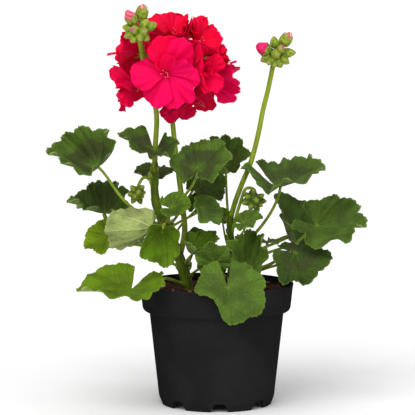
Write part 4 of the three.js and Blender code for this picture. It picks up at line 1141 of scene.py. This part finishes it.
# buds: the way, length and thickness of each closed bud, and how red it is where it isn't as red as the rest;
# opening: name, way, reach, size and length of each opening bud, the share in its sepals, and how pale it is.
BUD_HEADS = {
    "bud_head_left": dict(
        stem="left", at=0.985, radius=2, axis=(-0.1, -0.1, 1), core=5, tone=0.05, red=0.15,
        stalk=[
            (-51.2, -8, 224), (-50.2, -11, 241), (-51.3, -14, 254),
            (-56.5, -16, 275), (-61.5, -17.5, 294), (-64.4, -30, 316),
        ],
        buds=[
            ((-0.95, -0.2, 0.28), 14.5, 3.7), ((-0.9, -0.3, -0.35), 13.7, 3.6),
            ((-0.5, -0.5, -0.75), 12.5, 3.6), ((0.15, -0.8, -0.6), 12.5, 3.6),
            ((0.9, -0.1, 0.38), 16.5, 4.2), ((0.5, -0.85, 0), 12.5, 4),
            ((0.55, -0.35, 0.72), 13.5, 4), ((-0.45, -0.85, 0.15), 13, 4, 1), ((0.7, -0.3, -0.6), 12, 3.6),
            ((-0.6, 0.75, 0.1), 13, 3.8), ((0.5, 0.8, 0.1), 13, 3.8), ((0, 0.75, -0.55), 12, 3.6),
        ],
        opening=[
            OpenBud("left_bud_a", (-0.48, -0.28, 0.85), 8.3, 4.5, 12, 0.6, 0.35),
            OpenBud("left_bud_b", (0.18, 0.12, 1), 10, 4.7, 12.5, 0.9, 0.8),
        ],
    ),
    "bud_head_right": dict(
        stem="right", at=0.985, radius=2, axis=(0.1, -0.1, 1), core=5, tone=0.1, red=0.15,
        stalk=[
            (15.5, 0, 171), (20.6, 0, 185), (29, 0, 206), (34.8, 0, 228),
            (39, 0, 249), (43.6, 0, 268), (49.2, 0, 296),
        ],
        buds=[
            ((-0.1, -0.1, 1), 15.5, 3.8), ((0.5, -0.65, 0.5), 13, 3.6, 1), ((0.97, -0.1, 0.08), 17.5, 4),
            ((0.75, -0.35, -0.5), 15, 3.8), ((0.35, -0.4, -0.8), 13.5, 3.7), ((-0.1, -0.5, -0.85), 13, 3.6),
            ((0.05, -1, 0), 12, 4), ((-0.85, -0.3, -0.38), 14.5, 4), ((-0.5, -0.55, -0.65), 13, 3.8),
            ((-0.5, 0.8, 0.15), 13, 3.8), ((0.45, 0.85, 0.05), 13, 3.8), ((0, 0.8, -0.5), 12, 3.6),
        ],
        opening=[
            OpenBud("right_bud_a", (-0.88, -0.25, 0.42), 7, 5.4, 10.8, 0.42, 0.0),
            OpenBud("right_bud_b", (0.58, 0.12, 0.8), 9.5, 4.6, 12.5, 0.88, 0.9),
        ],
    ),
    "young_head_left": dict(
        stem="left", at=0.8, radius=1.2, axis=NODDING, core=5.5, tone=0.5, red=0.05,
        stalk=[(-57, -7, 191.5), (-61, -9, 193), (-65, -11, 188), (-67, -12, 180)],
        buds=bud_ball(7, 15, 9.2, 2.6),
    ),
    # Its high tone, a dark green, is partly the buds' own colour and partly painted shade: the head lies in
    # the shade of a leaf's fold.
    "young_head_right": dict(
        stem="right", at=0.8, radius=1.3, axis=NODDING, core=6.5, tone=0.95, red=0.0,
        stalk=[(20, -8, 172), (25, -10, 184), (31.5, -12, 183), (31, -13, 174)],
        buds=bud_ball(9, 17, 10.5, 2.7),
    ),
}


def add_bud(shape, centre, direction, length, thick, tint):
    """A closed bud on its pedicel: five ridged sepals that end in a point."""
    add_spindle(shape, centre, direction, [(0, 0.7), (length * 0.25, 0.62), (length * 0.45, 0.8)], 8)
    way = shares(14)
    radii = thick * (np.sin(pi * way**0.78) ** 0.62 * (1 - 0.3 * way) * 1.12 + 0.05)
    curve = centre + direction * (length * (0.32 + 0.68 * way))[:, None]
    add_tube(shape, curve, radii, 20, slot=1, ribs=5, rib_depth=0.1, tint=tint)


def add_sepals(shape, centre, bud):
    """Five sepals that lie against an opening bud, up to a share of its length."""
    way, side = np.meshgrid(np.linspace(0, bud.cover, 12), np.linspace(-1, 1, 9), indexing="ij")
    taper = way / bud.cover
    half_turn = 0.72 * (1 - taper**2.2) ** 0.7 + 0.02
    radius = bud.radius(way) + (0.35 + 0.5 * taper**3 + 0.25 * np.abs(side))
    along = bud.reach + 0.2 + way * bud.length
    place = gather(0.3 + 0.7 * taper, np.abs(side), taper)
    for number in range(5):
        spokes = frame_round(bud.axis).spoke(2 * pi * number / 5 + 0.3 + half_turn * side)
        grid = centre + along[..., None] * bud.axis + radius[..., None] * spokes
        grid[0] = grid[0].mean(axis=0)
        add_sheet(shape, grid[:, ::-1], SEPAL_THICKNESS, (1, 1), place, (0.0, 0.35, 0))


def make_petals(centre, bud):
    """The folded petals of an opening bud, which twist round each other to a blunt tip."""
    way = shares(20)
    curve = centre + bud.axis * (bud.reach + 0.3 + way * bud.length)[:, None]
    shape = Shape()
    tint = (bud.pale, 0.3, bud.reach)
    add_tube(shape, curve, bud.radius(way), 30, ribs=4, rib_depth=0.07, twist=4.5, tint=tint)
    shape.make(f"{bud.name}_petals", [OPENING], [bud.name], "opening_bud")


def make_bud_head(name, stem, at, radius, axis, core, tone, red, stalk, buds, opening=()):
    shape = Shape()
    curve = smooth_curve([STEMS[stem].at(at), *stalk])
    ways = shares(80)
    radii = radius * (1.12 - 0.12 * ways)
    add_tube(shape, along_curve(curve, ways), radii, 14, ribs=5, rib_depth=0.03, twist=3, tint=(0, 0.2, 0))
    centre = vec(*stalk[-1])
    stations = core * np.array([(-1, 0.4), (-0.4, 0.9), (0.5, 0.8), (1, 0.3)])
    add_spindle(shape, centre, axis, stations, 14, slot=1, tint=(tone, red, 0))
    for way, length, thick, *blush in buds:
        add_bud(shape, centre, unit(way), length, thick, (tone, *(blush or [red]), length))
    for bud in opening:
        reach, size = bud.reach, bud.size
        stations = [(0, 0.9), (reach - 4, 0.9), (reach - 1, size * 0.6), (reach, size * 0.66)]
        add_spindle(shape, centre, bud.axis, stations, 12, slot=1, tint=(tone, red, 0))
        add_sepals(shape, centre, bud)
    shape.make(f"{name}_stalked", [STALK, BUD], [name], "bud")
    for bud in opening:
        make_petals(centre, bud)


# ---- Studio ----

STAGE_SIDE = 60.0
WORLD_LIGHT = 0.38
CAMERA_PLACE = (-0.0077, -1.991, 0.376)
CAMERA_TILT = 84
CAMERA_LENS = 205.7
SENSOR_WIDTH = 36.0
# name: where the light comes from, its strength and its width in degrees.
SUNS = {
    "key": ((-0.45, -1.0, 1.05), 2.15, 55),
    "fill": ((0.9, -1.0, 0.6), 0.85, 60),
    "back": ((0.1, 0.35, 1.6), 0.65, 50),
}


def add_object(name, data):
    thing = bpy.data.objects.new(name, data)
    bpy.context.scene.collection.objects.link(thing)
    return thing


def make_floor():
    floor = bpy.data.meshes.new("floor")
    corners = [(x * STAGE_SIDE, y * STAGE_SIDE, 0) for x, y in ((-1, -1), (1, -1), (1, 1), (-1, 1))]
    floor.from_pydata(corners, [], [(0, 1, 2, 3)])
    paint = Surface("floor_paint", 0.9, specular=0.1)
    paint.colour = paint.mix(paint.noise(3.0), (250, 250, 250), (246, 246, 247))
    floor.materials.append(paint.finish())
    add_object("floor", floor)


def make_lights():
    world = bpy.data.worlds.new("studio")
    world.use_nodes = True
    colour, strength = list(world.node_tree.nodes["Background"].inputs)[:2]
    colour.default_value = (1, 1, 1, 1)
    strength.default_value = WORLD_LIGHT
    bpy.context.scene.world = world
    for name, (source, energy, width) in SUNS.items():
        light = bpy.data.lights.new(name, "SUN")
        light.energy = energy
        light.angle = radians(width)
        add_object(name, light).rotation_euler = Vector(source).to_track_quat("Z", "Y").to_euler()


def make_camera():
    camera = add_object("camera", bpy.data.cameras.new("camera"))
    camera.location = CAMERA_PLACE
    camera.rotation_euler = (radians(CAMERA_TILT), 0, 0)
    camera.data.sensor_width = SENSOR_WIDTH
    camera.data.lens = CAMERA_LENS
    bpy.context.scene.camera = camera
    bpy.context.scene.view_settings.view_transform = "Standard"


make_floor()
make_lights()
make_camera()
make_pot()
make_soil()
for name, stem in STEMS.items():
    make_stem(name, stem)
for name, leaf in LEAVES.items():
    make_leaf(name, leaf)
make_head_stalk()
for number, (name, floret) in enumerate(FLORETS.items()):
    make_floret(number, name, floret)
for name, head in BUD_HEADS.items():
    make_bud_head(name, **head)
